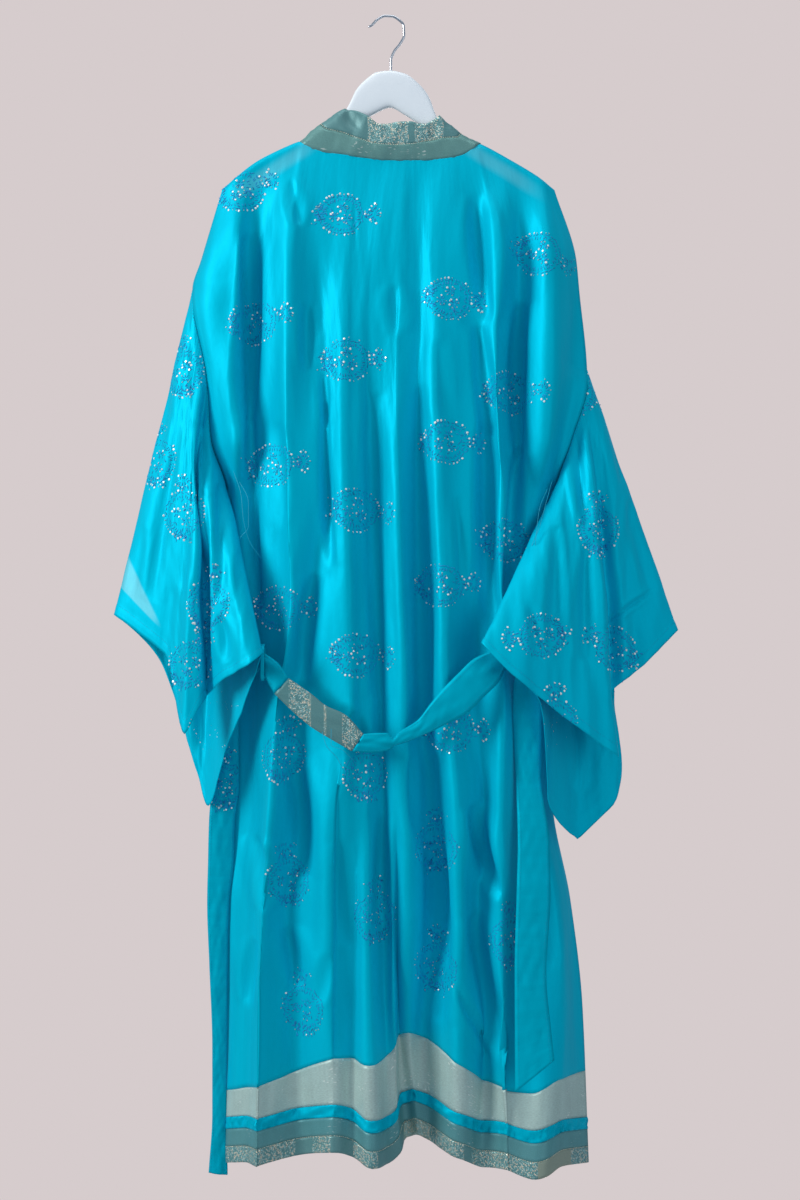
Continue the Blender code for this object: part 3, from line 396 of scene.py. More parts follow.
FRONT_RIGHT_CREASES = (
    (176, -420, 166, -560, 10, 4.0, -3), (158, -600, 152, -850, 11, 4.6, 4),
    (120, -690, 126, -960, 9, 3.8, -3), (96, -480, 90, -640, 8, 3.0, 2),
    (186, -940, 178, -1180, 11, 4.8, -4), (140, -1030, 150, -1300, 10, 4.4, 4),
    (104, -1110, 98, -1330, 8, 3.4, -3), (196, -1240, 214, -1420, 10, 4.0, 3),
    (88, -830, 84, -960, 7, 2.6, -2), (240, -1290, 262, -1430, 8, 3.2, 2),
)
LEFT_SLEEVE_CREASES = (
    (-244, -500, -249, -660, 6, 4.2, -3), (-249, -650, -242, -880, 6, 4.4, 3),
    (-262, -560, -276, -790, 9, 3.4, 4), (-290, -600, -318, -800, 8, 2.8, -4),
    (-228, -640, -222, -800, 8, 3.4, 3), (-330, -700, -352, -800, 6, 2.0, 2),
    (-300, -470, -312, -590, 8, 2.4, 2), (-222, -820, -214, -880, 6, 3.0, 2),
)
LEFT_SLEEVE_FAR_CREASES = (
    (-262, -520, -280, -760, 10, 4.0, -4), (-300, -620, -330, -800, 9, 3.4, 4),
    (-236, -640, -250, -900, 9, 4.0, 3), (-262, -860, -268, -1000, 8, 3.6, -3),
    (-224, -700, -214, -900, 8, 3.4, 3), (-286, -800, -296, -900, 6, 2.4, 2),
)
RIGHT_SLEEVE_CREASES = (
    (288, -668, 306, -935, 8, 4.2, 3), (254, -560, 270, -700, 8, 3.4, -3),
    (300, -500, 322, -640, 8, 2.6, 3), (330, -660, 362, -790, 8, 2.4, -3),
    (226, -700, 214, -860, 9, 3.6, 3), (270, -720, 262, -880, 9, 3.0, -3),
    (285, -840, 361, -787, 3, 1.6, 2), (186, -800, 200, -880, 6, 2.0, 1),
)
RIGHT_SLEEVE_FAR_CREASES = (
    (262, -600, 282, -800, 10, 4.0, 4), (300, -640, 330, -820, 9, 3.4, -4),
    (236, -680, 226, -930, 9, 4.0, -3), (262, -880, 262, -1060, 8, 3.6, 3),
    (296, -880, 304, -1010, 7, 3.0, -2), (240, -920, 252, -1050, 6, 2.6, 2),
)

# Motifs: piece, x, z and turn in degrees, seen from behind or, for the fronts, through the cloth
MOTIFS = (
    ("back", -64, -276, 0), ("back", 81, -392, -4), ("back", -57, -477, 3), ("back", 77, -587, 0),
    ("back", -44, -678, -6), ("back", 70, -779, 4), ("back", -44, -872, -5), ("back", 157, -718, 0),
    ("back", -140, -1008, 80), ("back", -30, -1033, 95), ("back", 83, -973, 0), ("back", -149, -809, 0),
    ("back", -201, -241, 20), ("back", -181, -422, 10), ("back", -158, -617, 5),
    ("back", 204, -329, -20), ("back", 164, -517, 0), ("back", -133, -1176, 97),
    ("back", -113, -1347, 95), ("back", -17, -1223, 90), ("back", 65, -1133, 90),
    ("back", 65, -1294, 88), ("back", 164, -1254, 90), ("left_sleeve", -279, -490, 95),
    ("left_sleeve", -275, -684, 92), ("left_sleeve", -199, -604, 60), ("belt_left", -222, -1052, 90),
    ("left_sleeve", -236, -972, 60), ("right_sleeve", 222, -962, 92), ("left_sleeve", -266, -886, 60),
    ("left_sleeve", -239, -805, 80), ("left_sleeve", -316, -610, 90), ("right_sleeve", 257, -518, 60),
    ("right_sleeve", 284, -705, 90), ("right_sleeve", 204, -846, 184), ("right_sleeve", 308, -866, 150),
    ("right_sleeve", 330, -560, 80), ("left_sleeve_far", -290, -560, 90),
    ("left_sleeve_far", -320, -740, 92), ("left_sleeve_far", -240, -700, 88),
    ("left_sleeve_far", -262, -930, 85), ("left_sleeve_far", -214, -850, 92),
    ("right_sleeve_far", 300, -560, 92), ("right_sleeve_far", 330, -740, 88),
    ("right_sleeve_far", 250, -740, 90), ("right_sleeve_far", 262, -1000, 86),
    ("right_sleeve_far", 300, -890, 94), ("left_front", -170, -330, 10), ("left_front", -120, -460, 0),
    ("left_front", -165, -600, 4), ("left_front", -105, -740, -4), ("left_front", -160, -880, 0),
    ("left_front", -104, -1020, 88), ("left_front", -160, -1160, 92), ("left_front", -108, -1300, 90),
    ("left_front", -178, -1370, 88), ("right_front", 176, -330, -10), ("right_front", 124, -460, 0),
    ("right_front", 172, -600, -4), ("right_front", 112, -740, 4), ("right_front", 166, -880, 0),
    ("right_front", 110, -1020, 92), ("right_front", 176, -1160, 88), ("right_front", 116, -1300, 90),
    ("right_front", 206, -1360, 92),
)

NECKBAND_CREASES = (
    (30, -118, 42, -150, 5, 3.0, 2), (-58, -128, -40, -158, 7, 2.4, -2), (-4, -128, 0, -168, 8, 1.6, 0),
    (66, -142, 56, -176, 6, 1.8, 1),
)

# Loose threads at the armholes and on the belt
LOOSE_THREADS = (
    ((-208, -44, -625), (-196, -60, -660), (-193, -64, -690), (-184, -62, -722), (-170, -58, -742)),
    ((-199, -52, -640), (-186, -66, -668), (-186, -66, -700), (-198, -62, -716)),
    ((221, -48, -638), (212, -62, -668), (203, -66, -700), (190, -64, -735), (186, -62, -762)),
    ((214, -54, -650), (203, -68, -676), (198, -68, -712), (196, -64, -740)),
    ((-86, -106, -972), (-80, -112, -990), (-66, -110, -1006), (-58, -108, -1022)),
    ((-74, -106, -968), (-74, -112, -988), (-58, -112, -996), (-44, -108, -1010)),
)

# Patchwork along x: where each piece begins and what it is made of, then the lowest and highest x, in mm
PATCHES = {
    "silk_back": (((-240, "brocade"), (-124, "plain"), (-101, "brocade"), (-77, "plain"), (-48, "brocade"),
                   (-13, "plain"), (20, "gold"), (56, "brocade"), (101, "plain"), (112, "brocade"),
                   (197, "sage"), (247, "brocade")), -240, 300),
    "silk_front_left": (((-240, "brocade"), (-190, "sage"), (-150, "brocade"), (-110, "plain")), -240, 300),
    "silk_front_right": (((-240, "brocade"), (110, "plain"), (150, "sage"), (200, "brocade"), (246, "plain")),
                         -240, 300),
    "neckband": (((-120, "plain"), (-28, "brocade"), (28, "plain"), (36, "brocade"), (76, "plain")),
                 -120, 140),
    "belt": (((-160, "plain"), (-131, "brocade"), (-104, "gold"), (-101, "plain"), (-84, "gold"),
              (-81, "plain"), (-60, "brocade")), -160, -20),
}

# Each sheet as it was cut: width and length in metres, and the area where the cut is no rectangle;
# a body panel also has the width of its hem bands and how it is held
SHEETS = {
    "back": ((0.575, 1.36), None, 0.575, "hung"),
    "front": ((0.19, 1.40), None, 0.19, "hung"),
    "sleeve_left": ((0.50, 0.42), 0.18),
    "sleeve_right": ((0.52, 0.42), 0.19),
    "neckband_outer": ((0.021, 2.95),),
    "neckband_inner": ((0.034, 2.95),),
    "tie_left_run": ((0.028, 0.045),), "tie_patch": ((0.034, 0.13),), "tie_right_run": ((0.033, 0.26),),
    "tie_left_end": ((0.034, 0.55),), "tie_right_end": ((0.042, 0.55),), "loop": ((0.01, 0.184), 0.0009),
}

# How much lower than an even band the top of the silver band hangs: x and drop, mm
JOINT_DROP = (
    (-225, 31), (-200, 32), (-170, 26), (-135, 22), (-95, 13), (-60, 6), (-30, -1), (0, -12), (8, -12),
    (40, -8), (70, -5), (110, 9), (165, 28), (200, 20), (228, 14), (275, 3),
)

CUFF_HEM = 15.0       # width of the turned hem of a cuff, mm
CREASE = 2.0          # how deep the creases go, against their tables
CREASE_SIDE = 0.38    # height of the ridge on each side of a crease, against its depth
SWING_PEAK = 256 / 27     # makes s (1 - s)^3 reach 1 at its highest

# Sewing, mm
FLAT_ENOUGH = 0.22    # how far a cloth has to face the maker where a motif is sewn on it
THREAD_LIFT, SEQUIN_LIFT = 0.12, 0.55
THREAD_THICK, SEQUIN_THICK = 0.64, 0.3
SEQUIN_TOP = 0.72     # a sequin's outer face against its inner one
GATHER = 1.25         # cut length of a gathered strip against its length in place
LOT = 500             # points in a lot before it is merged

# Stage, metres and watts: name, place, size, power (None is set by the user), colour
LIGHTS = (
    ("key", (-2.9, -1.5, 0.5), (0.9, 2.0), None, (1.0, 0.99, 0.97)),
    ("fill", (1.9, -2.3, -0.5), (1.6, 2.4), None, (0.96, 0.98, 1.0)),
    ("top", (0.0, -0.4, 1.4), (1.6, 1.0), 12.0, (1.0, 1.0, 1.0)),
    ("behind", (0.6, 2.6, 0.2), (2.0, 2.4), 22.0, (1.0, 1.0, 1.0)),
)
LIGHTS_AIM = (0.0, 0.0, -0.8)
FLOOR = -2.0
FLOOR_RADIUS = 0.98
AMBIENT = 0.36
AMBIENT_COLOUR = (0.66, 0.80, 0.96, 1.0)
CAMERA_PLACE = (0.01644, -2.6, -0.79871)
SHOWN_HEIGHT = 1.644  # height of the view at the robe
SENSOR = 36.0

SHAPES = {}           # grids of the sheets that later pieces are made from
SKINS = {}            # the outer sides of the sheets, for the sewing laid on them
LINES = {}            # seam lines for stitches: points and the way out of the cloth


# ---------------------------------------------------------------- curves and grids

def unit(vectors):
    return vectors / np.maximum(np.linalg.norm(vectors, axis=-1, keepdims=True), 1e-12)


def smooth_through(knots, values, at):
    """Monotone cubic through (knots, values); values may have several columns."""
    knots = np.asarray(knots, float)
    values = np.asarray(values, float)
    flat = values.ndim == 1
    if flat:
        values = values[:, None]
    at = np.clip(np.asarray(at, float), knots[0], knots[-1])
    step = np.diff(knots)[:, None]
    slope = np.diff(values, axis=0) / step
    tangent = np.zeros_like(values)
    if len(knots) > 2:
        before, after = slope[:-1], slope[1:]
        same = before * after > 0
        w1 = 2 * step[1:] + step[:-1]
        w2 = step[1:] + 2 * step[:-1]
        safe_before = np.where(same, before, 1.0)
        safe_after = np.where(same, after, 1.0)
        tangent[1:-1] = np.where(same, (w1 + w2) / (w1 / safe_before + w2 / safe_after), 0.0)
    tangent[0], tangent[-1] = slope[0], slope[-1]
    k = np.clip(np.searchsorted(knots, at, side="right") - 1, 0, len(knots) - 2)
    t = ((at - knots[k]) / (knots[k + 1] - knots[k]))[:, None]
    h = (knots[k + 1] - knots[k])[:, None]
    out = ((2 * t**3 - 3 * t**2 + 1) * values[k] + (t**3 - 2 * t**2 + t) * h * tangent[k]
           + (-2 * t**3 + 3 * t**2) * values[k + 1] + (t**3 - t**2) * h * tangent[k + 1])
    return out[:, 0] if flat else out


def run_of(line):
    """Length along a line up to each of its points."""
    return np.concatenate([[0.0], np.cumsum(np.linalg.norm(np.diff(line, axis=0), axis=1))])


def lengths(points, axis):
    """Length along the rows or columns of a grid up to each of its lines, averaged over the other way."""
    steps = np.linalg.norm(np.diff(points, axis=axis), axis=-1)
    return np.concatenate([[0.0], np.cumsum(steps.mean(axis=1 - axis))])


def facing(points, ring=False):
    """Unit normals of a grid, not yet turned outwards."""
    down = np.gradient(points, axis=0)
    if ring:
        across = (np.roll(points, -1, axis=1) - np.roll(points, 1, axis=1)) / 2
    else:
        across = np.gradient(points, axis=1)
    return unit(np.cross(across, down))


def waves(x, z, seed, wide, tall, count=22):
    """Soft random ripples of about unit height, `wide` mm from crest to crest and `tall` mm long."""
    draw = random.Random(seed)
    out = np.zeros(np.shape(x))
    for _ in range(count):
        kx = 2 * math.pi / (wide * draw.uniform(0.6, 1.9)) * draw.choice((-1, 1))
        kz = 2 * math.pi / (tall * draw.uniform(0.6, 2.4)) * draw.choice((-1, 1))
        out += np.sin(kx * x + kz * z + draw.uniform(0, 2 * math.pi))
    return out / math.sqrt(count / 2)


def creased(x, z, creases):
    """Troughs with a low ridge on each side, from a table of creases."""
    push = np.zeros(np.shape(x))
    for x0, z0, x1, z1, width, depth, bow in creases:
        length = math.hypot(x1 - x0, z1 - z0)
        ax, az = (x1 - x0) / length, (z1 - z0) / length
        t = ((x - x0) * ax + (z - z0) * az) / length
        arch = np.clip(1 - (2 * t - 1) ** 2, 0, 1)
        off = (z - z0) * ax - (x - x0) * az - bow * arch
        wide = width * (0.7 + 0.3 * arch)
        push -= CREASE * depth * np.sqrt(arch) * (np.exp(-(off / wide) ** 2)
                                         - CREASE_SIDE * np.exp(-((np.abs(off) - 1.9 * wide) / wide) ** 2))
    return push


def ripple():
    """Height of the soft ripples, mm."""
    return bpy.context.scene.robe_cloth.ripple


# ---------------------------------------------------------------- making pieces

def add_object(name, bm, finish, smooth=True):
    mesh = bpy.data.meshes.new(name)
    bm.to_mesh(mesh)
    bm.free()
    if smooth:
        mesh.shade_smooth()
    mesh.materials.append(finish)
    ob = bpy.data.objects.new(name, mesh)
    bpy.context.scene.collection.objects.link(ob)
    return ob


def sheet_mesh(points, ring=False):
    """A grid mesh through the points, in metres, with a UV map in metres.

    A ring's last column meets its first.
    """
    if ring:
        points = np.concatenate([points, points[:, :1]], axis=1)
    rows, cols = points.shape[:2]
    u, v = lengths(points, 1) * MM, lengths(points, 0) * MM
    place = (points * MM).tolist()
    bm = bmesh.new()
    uv = bm.loops.layers.uv.new("UVMap")
    bmesh.ops.create_grid(bm, x_segments=cols - 1, y_segments=rows - 1, size=1.0)
    spot = {}
    for vert in bm.verts:
        j = round((vert.co.x + 1) / 2 * (cols - 1))
        i = round((1 - vert.co.y) / 2 * (rows - 1))
        spot[vert] = (i, j)
    for vert, (i, j) in spot.items():
        vert.co = place[i][j]
    for face in bm.faces:
        for loop in face.loops:
            i, j = spot[loop.vert]
            loop[uv].uv = (u[j], v[i])
    if ring:
        bmesh.ops.remove_doubles(bm, verts=bm.verts, dist=1e-6)
    bm.normal_update()
    return bm


def turn_out(bm, points, normals):
    """Turn every face over if the mesh looks the other way from the given normals."""
    rows, cols = points.shape[:2]
    tree = kdtree.KDTree(rows * cols)
    flat = (points * MM).reshape(-1, 3)
    for k, point in enumerate(flat.tolist()):
        tree.insert(point, k)
    tree.balance()
    flat_normals = normals.reshape(-1, 3)
    agree = 0.0
    for face in list(bm.faces)[::37]:
        _, k, _ = tree.find(face.calc_center_median())
        agree += float(np.dot(flat_normals[k], face.normal))
    if agree < 0:
        bmesh.ops.reverse_faces(bm, faces=bm.faces)
        bm.normal_update()


def cloth(name, points, normals, finish, thick, ring=False):
    """A thin sheet whose outer side is the grid of points."""
    bm = sheet_mesh(points, ring)
    turn_out(bm, points, normals)
    SKINS[name] = BVHTree.FromBMesh(bm)
    ob = add_object(name, bm, finish)
    wall = ob.modifiers.new("Cloth thickness", "SOLIDIFY")
    wall.thickness = thick * MM
    wall.offset = -1.0
    return ob


def place_sheet(ob, nodes, slot, flat, held, area=None):
    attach(ob, "root")
    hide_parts(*nodes)


def tube(points, radius, sides):
    """A closed round tube along a line; radius is one number or one for each point, in mm."""
    points = np.asarray(points, float)
    along = unit(np.gradient(points, axis=0))
    radius = np.broadcast_to(radius, len(points))
    side = unit(np.cross(along, [0.0, 1.0, 0.02]))
    over = np.cross(along, side)
    turn = np.linspace(0, 2 * math.pi, sides, endpoint=False)
    ring = side[:, None] * np.cos(turn)[None, :, None] + over[:, None] * np.sin(turn)[None, :, None]
    grid = points[:, None] + ring * radius[:, None, None]
    return closed_grid(grid)


def closed_grid(grid):
    """A mesh round a ring of columns, with both its ends filled."""
    bm = sheet_mesh(grid, ring=True)
    ends = [edge for edge in bm.edges if edge.is_boundary]
    bmesh.ops.holes_fill(bm, edges=ends, sides=0)
    bmesh.ops.recalc_face_normals(bm, faces=bm.faces)
    return bm


# ---------------------------------------------------------------- the body panels

class Panel:
    """A body panel hung from its top edge, with its folds given by a table."""

    def __init__(self, table, armholes, creases, seed):
        self.table, self.armholes, self.creases, self.seed = table, armholes, creases, seed
        self.side = 1.0 if table[0][3] > 0 else -1.0
        xs = np.array([[row[1], *row[5]] for row in table], float)
        ys = np.array([[row[3], *(row[6] or [0] * len(LEVELS))] for row in table], float)
        widths = np.hypot(np.diff(xs, axis=0), np.diff(ys, axis=0)).mean(axis=1)
        at = [0.0]
        for fold, width in enumerate(widths):
            count = max(2, math.ceil(width / PITCH))
            at += [fold + (k + 1) / count for k in range(count)]
        self.columns = np.array(at)

    def folds(self, downs):
        """The point on every fold at each of `downs`, 0 to 1 in the panel, above 1 in the border."""
        lines = []
        for row in self.table:
            top, edge = row[2], row[4] + BORDER
            z = np.where(downs <= 1, top + (edge - top) * downs, edge - (downs - 1) * BORDER)
            keep = [k for k, level in enumerate(LEVELS) if level < top - 30]
            knots = [-top] + [-LEVELS[k] for k in keep]
            x = smooth_through(knots, [row[1]] + [row[5][k] for k in keep], -z)
            if row[6] is None:
                start, end, half = self.armholes[row[0]]
                where, depth = zip(*ARMHOLE_SHAPE)
                y = self.side * (HALF + half * smooth_through(where, depth, (downs - start) / (end - start)))
            else:
                y = smooth_through(knots, [row[3]] + [row[6][k] for k in keep], -z)
                if abs(row[3]) < 1:
                    fall = np.minimum((top - z) / ROLL_FALL, 1.0)
                    fade = np.clip((ROLL_END - (top - z)) / (ROLL_END - ROLL_FADE), 0, 1)
                    roll = ROLL_REACH * np.sqrt(1 - (1 - fall) ** 2) * fade * fade * (3 - 2 * fade)
                    rolled = self.side * np.maximum(np.hypot(roll, y), HALF)
                    y = np.where(top - z < ROLL_END, rolled, y)
            where, lower = zip(*JOINT_DROP)
            away = np.where(downs <= 1, (1 - downs) * PANEL_LENGTH / 90, (downs - 1) * BORDER / SILVER_BAND)
            z = z - np.interp(x, where, lower) * np.clip(1 - away, 0, 1)
            lines.append(np.stack([x, y, z], axis=1))
        return np.stack(lines, axis=1)

    def grid(self, downs):
        """Points on the cloth with its creases and ripples, and the way out of it at each."""
        downs = np.asarray(downs, float)
        folds = self.folds(downs)
        order = np.arange(folds.shape[1])
        points = np.stack([smooth_through(order, row, self.columns) for row in folds])
        points[:, 0], points[:, -1] = folds[:, 0], folds[:, -1]
        normals = facing(points)
        if normals[..., 1].sum() * self.side < 0:
            normals = -normals
        x, z = points[..., 0], points[..., 2]
        push = creased(x, z, self.creases)
        push += ripple() * (0.16 * waves(x, z, self.seed, 26, 300) + 3.0 * waves(x, z, self.seed + 1, 78, 520)
                            + 0.12 * waves(x, z, self.seed + 2, 16, 60))
        across = np.minimum(lengths(points, 1), lengths(points, 1)[-1] - lengths(points, 1))
        top = smooth_through(order, np.array([row[2] for row in self.table], float), self.columns)
        drop = top[None, :] - z
        push *= np.clip(across / 14.0, 0, 1)[None, :] * np.clip(drop / 90.0, 0, 1)
        return points + normals * push[..., None], normals


def panel_rows():
    """Rows of a panel, close together over the hanger, with rows at both ends of each armhole."""
    rows = [0, 0.0006, 0.0014, 0.0024, 0.0036, 0.005, 0.0066, 0.0084, 0.0105, 0.013, 0.016, 0.02]
    stops = (0.02, ARMHOLE_LEFT[0], ARMHOLE_RIGHT[0], ARMHOLE_LEFT[1], 1.0)
    for first, last in zip(stops, stops[1:]):
        count = math.ceil((last - first) * PANEL_LENGTH / ROW_PITCH)
        rows += [first + (last - first) * (k + 1) / count for k in range(count)]
    return np.array(rows)


DOWNS = panel_rows()
BANDS = (
    ("silver_band", SILVER_BAND, 14, "silver_zari"), ("turquoise_band", TURQUOISE_BAND, 8, "turquoise_strip"),
    ("teal_band", TEAL_BAND, 7, "teal_zari"), ("patch_hem", PATCH_HEM, 7, "brocade"),
)


def hem_bands(panel):
    """The grids of the four hem bands of a panel, from the panel down."""
    start = 1.0
    for band, depth, rows, slot in BANDS:
        end = start + depth / BORDER
        points, normals = panel.grid(np.linspace(start, end, rows))
        if band == "turquoise_band":
            x = lengths(points, 1)[None, :] + 0 * points[..., 0]
            down = np.linspace(0, 1, rows)[:, None]
            gather = waves(x, down * TURQUOISE_BAND, panel.seed + 5, 7.5, 26)
            points = points + normals * (2.0 * gather * np.sin(math.pi * down) ** 0.6 + 0.5)[..., None]
        yield band, slot, points, normals, depth
        start = end


# ---------------------------------------------------------------- the sleeves

def sleeve_grid(table, back, front, column_back, armhole, parts, rows):
    """A tube from the armhole edges of the back and front panels to the cuff."""
    used = np.where((DOWNS > armhole[0] - 1e-9) & (DOWNS < armhole[1] + 1e-9))[0]
    backs, fronts = back[used, column_back], front[used, 0]
    out_back = unit(backs - back[used, column_back + (1 if column_back == 0 else -1)])
    out_front = unit(fronts - front[used, 1])
    drop = (backs[0, 2] - backs[:, 2]) / (backs[0, 2] - backs[-1, 2])
    low = np.clip((drop - 0.8) / 0.2, 0, 1)[:, None]
    meets = SLEEVE_MEETS * (1 + 0.4 * np.clip(drop / 0.4, 0, 1)[:, None])
    aside = np.array([math.copysign(0.4, table[0][3]), 0, 0]) * low
    backs = backs + out_back * meets + aside
    fronts = fronts + out_front * meets + aside
    top, bottom = (backs[0] + fronts[0]) / 2, (backs[-1] + fronts[-1]) / 2
    places, start = [0.0], [top]
    count = len(used)
    for k in range(count - 1):
        for part in range(1, parts + 1):
            w = part / parts
            places.append(drop[k] * (1 - w) + drop[k + 1] * w)
            start.append(backs[k] * (1 - w) + backs[k + 1] * w)
    places[-1], start[-1] = 1.0, bottom
    for k in range(count - 1, 0, -1):
        for part in range(1, parts + 1):
            w = part / parts
            places.append(2.0 - (drop[k] * (1 - w) + drop[k - 1] * w))
            start.append(fronts[k] * (1 - w) + fronts[k - 1] * w)
    places, start = np.array(places[:-1]), np.array(start[:-1])

    fractions = [row[2] if row[1] == "back" else 2.0 - row[2] for row in table] + [2.0]
    lines = np.interp(places, fractions, np.arange(len(fractions)))
    around = np.arange(-3, len(table) + 4)
    cuff = smooth_through(around, np.array([table[k % len(table)][3:] for k in around], float), lines)
    step = np.linspace(0, 1, rows)[:, None]
    grid = start[None] * (1 - step[..., None]) + cuff[None, :, :3] * step[..., None]
    grid[..., 1] += cuff[None, :, 3] * 4 * step * (1 - step)
    grid[..., 0] += cuff[None, :, 4] * SWING_PEAK * step * (1 - step) ** 3
    normals = facing(grid, ring=True)
    if np.sum(normals * (grid - grid.mean(axis=1, keepdims=True))) < 0:
        normals = -normals
    return grid, normals, places


def sleeve_cloth(grid, normals, places, near, far, seed):
    """The sleeve with its creases, ripples and turned cuff hem."""
    x, z = grid[..., 0], grid[..., 2]
    behind = (places < 1)[None, :]
    push = np.where(behind, creased(x, z, near), creased(x, z, far))
    push += ripple() * (0.55 * waves(x, z, seed, 22, 240) + 0.9 * waves(x, z, seed + 1, 55, 300)
                        + 0.25 * waves(x, z, seed + 2, 12, 70))
    down = lengths(grid, 0)
    left = down[-1] - down
    seam = np.minimum(places % 1.0, 1 - places % 1.0)
    push *= np.clip(down / 26.0, 0, 1)[:, None] * (0.25 + 0.75 * np.clip(seam / 0.06, 0, 1))[None, :]
    hem = np.where(left < CUFF_HEM, 0.45, 0.0) - 0.5 * np.exp(-((left - CUFF_HEM) / 2.2) ** 2)
    push += hem[:, None]
    return grid + normals * push[..., None]


# ---------------------------------------------------------------- neckband, belt and hanger

def band_grid(first, second, rows, crown):
    """A strip between two lines, standing out by `crown` along its middle."""
    t = np.linspace(0, 1, rows)[:, None, None]
    grid = first[None] * (1 - t) + second[None] * t
    normals = facing(grid)
    middle = normals.shape[1] // 2
    if normals[:, middle, 1].sum() > 0:
        normals = -normals
    return grid + normals * crown * np.sin(math.pi * t), normals


def neckband_lines(back, left, right):
    """The outer edge, the joint and the inner edge of the neckband, from hem to hem."""
    outer, joint, inner = [], [], []

    def front_side(panel, points, sign):
        low = panel.grid(np.linspace(2.0, 1.03, 30))[0][:, -1]
        rows = points[::-1][DOWNS[::-1] > 0.05][:, -1]
        top = points[0, panel.columns > 4.0][::-1]
        stations = []
        for point in np.concatenate([low, rows, top]):
            rise = max(0.0, min(1.0, (point[2] + 330.0) / 150.0))
            rise = rise * rise * (3 - 2 * rise)
            across = FRONT_BAND_WIDTH * (1 - rise) + 60 * rise
            wide = np.array([sign * across, (1 - rise) * 2.0, 2.0 + 43 * rise])
            base = point + unit(wide) * SEAM
            share = FRONT_JOINT / FRONT_BAND_WIDTH + 0.1 * rise * rise
            stations.append((base, base + wide * share, base + wide))
        return stations

    tops = {"back": back[0], "left": left[1][0], "right": right[1][0]}
    stations = front_side(*left, 1.0)
    for name, panel, ox, jx, jy, jz, ix, iy, iz in NECK_STATIONS:
        edge = tops[panel]
        edge = edge[np.argsort(edge[:, 0])]
        start = np.array([np.interp(ox, edge[:, 0], edge[:, k]) for k in range(3)])
        if name.startswith("ridge"):
            start[1] = 0.0
        meets = np.array([jx, jy, jz], float)
        start = start + unit(meets - start) * (SEAM * 5 if panel != "back" else -0.7)
        stations.append((start, meets, np.array([ix, iy, iz], float)))
    stations += front_side(*right, -1.0)[::-1]
    outer, joint, inner = (np.array(line) for line in zip(*stations))
    along = run_of(joint)
    at = np.linspace(0, along[-1], round(along[-1] / NECK_PITCH))
    return [smooth_through(along, line, at) for line in (outer, joint, inner)]


def ribbon_grid(table, seed, bow=2.0, across=11):
    """A flat strip through the edge points of a table, bowed a little across its width."""
    first = np.array([(row[1], row[5], row[2]) for row in table], float)
    second = np.array([(row[3], row[5], row[4]) for row in table], float)
    middle = (first + second) / 2
    along = run_of(middle)
    at = np.linspace(0, along[-1], max(8, round(along[-1] / BELT_PITCH)))
    first, second = smooth_through(along, first, at), smooth_through(along, second, at)
    t = np.linspace(0, 1, across)[:, None, None]
    grid = first[None] * (1 - t) + second[None] * t
    grid[..., 1] -= (bow * np.sin(math.pi * t[..., 0]))
    normals = facing(grid)
    if normals[..., 1].sum() > 0:
        normals = -normals
    width = np.linspace(0, 1, across)[:, None] * np.linalg.norm(second - first, axis=1)[None, :]
    run = at[None, :] + 0 * width
    push = ripple() * (0.5 * waves(width, run, seed, 16, 60) + 0.3 * waves(width, run, seed + 1, 8, 26))
    push *= np.clip(np.sin(math.pi * t[..., 0]), 0, 1) ** 0.5
    return grid + normals * push[..., None], normals


def loop_grid(x, y, z, wide, deep):
    """A narrow strip closed round the belt."""
    grid = []
    for half in np.linspace(-LOOP_WIDE / 2, LOOP_WIDE / 2, 5):
        row = []
        for k in range(48):
            a = 2 * math.pi * k / 48
            c, s = math.cos(a), math.sin(a)
            u = (wide / 2 + LOOP_THICK) * math.copysign(abs(c) ** 0.6, c)
            v = (deep / 2 + LOOP_THICK) * math.copysign(abs(s) ** 0.6, s)
            row.append((x + half, y + v, z + u))
        grid.append(row)
    grid = np.array(grid)
    normals = grid - np.array([x, y, z])
    normals[..., 0] = 0
    return grid, unit(normals)


def hanger_mesh():
    """The wood as rounded sections set side by side along x."""
    table = np.array(HANGER, float)
    first, last = table[0, 0], table[-1, 0]
    near_end = np.array([0.4, 1.2, 2.5, 4.0])
    xs = np.unique(np.concatenate([np.linspace(first, last, 110), first + near_end, last - near_end]))
    top, under = (smooth_through(table[:, 0], table[:, k], xs) for k in (1, 2))
    turn = 2 * math.pi * (np.arange(28) + 0.5) / 28
    c, s = np.cos(turn), np.sin(turn)
    round_y = np.sign(c) * np.abs(c) ** 0.5
    round_z = np.sign(s) * np.abs(s) ** 0.5
    end = np.minimum(1.0, 0.45 + np.minimum(xs - xs[0], xs[-1] - xs) / 5.0)
    grid = np.zeros((len(xs), 28, 3))
    grid[..., 0] = xs[:, None]
    grid[..., 1] = WOOD_THICK / 2 * end[:, None] * round_y[None]
    grid[..., 2] = ((top + under) / 2)[:, None] + ((top - under) / 2)[:, None] * round_z[None]
    return closed_grid(grid)


# ---------------------------------------------------------------- finishes

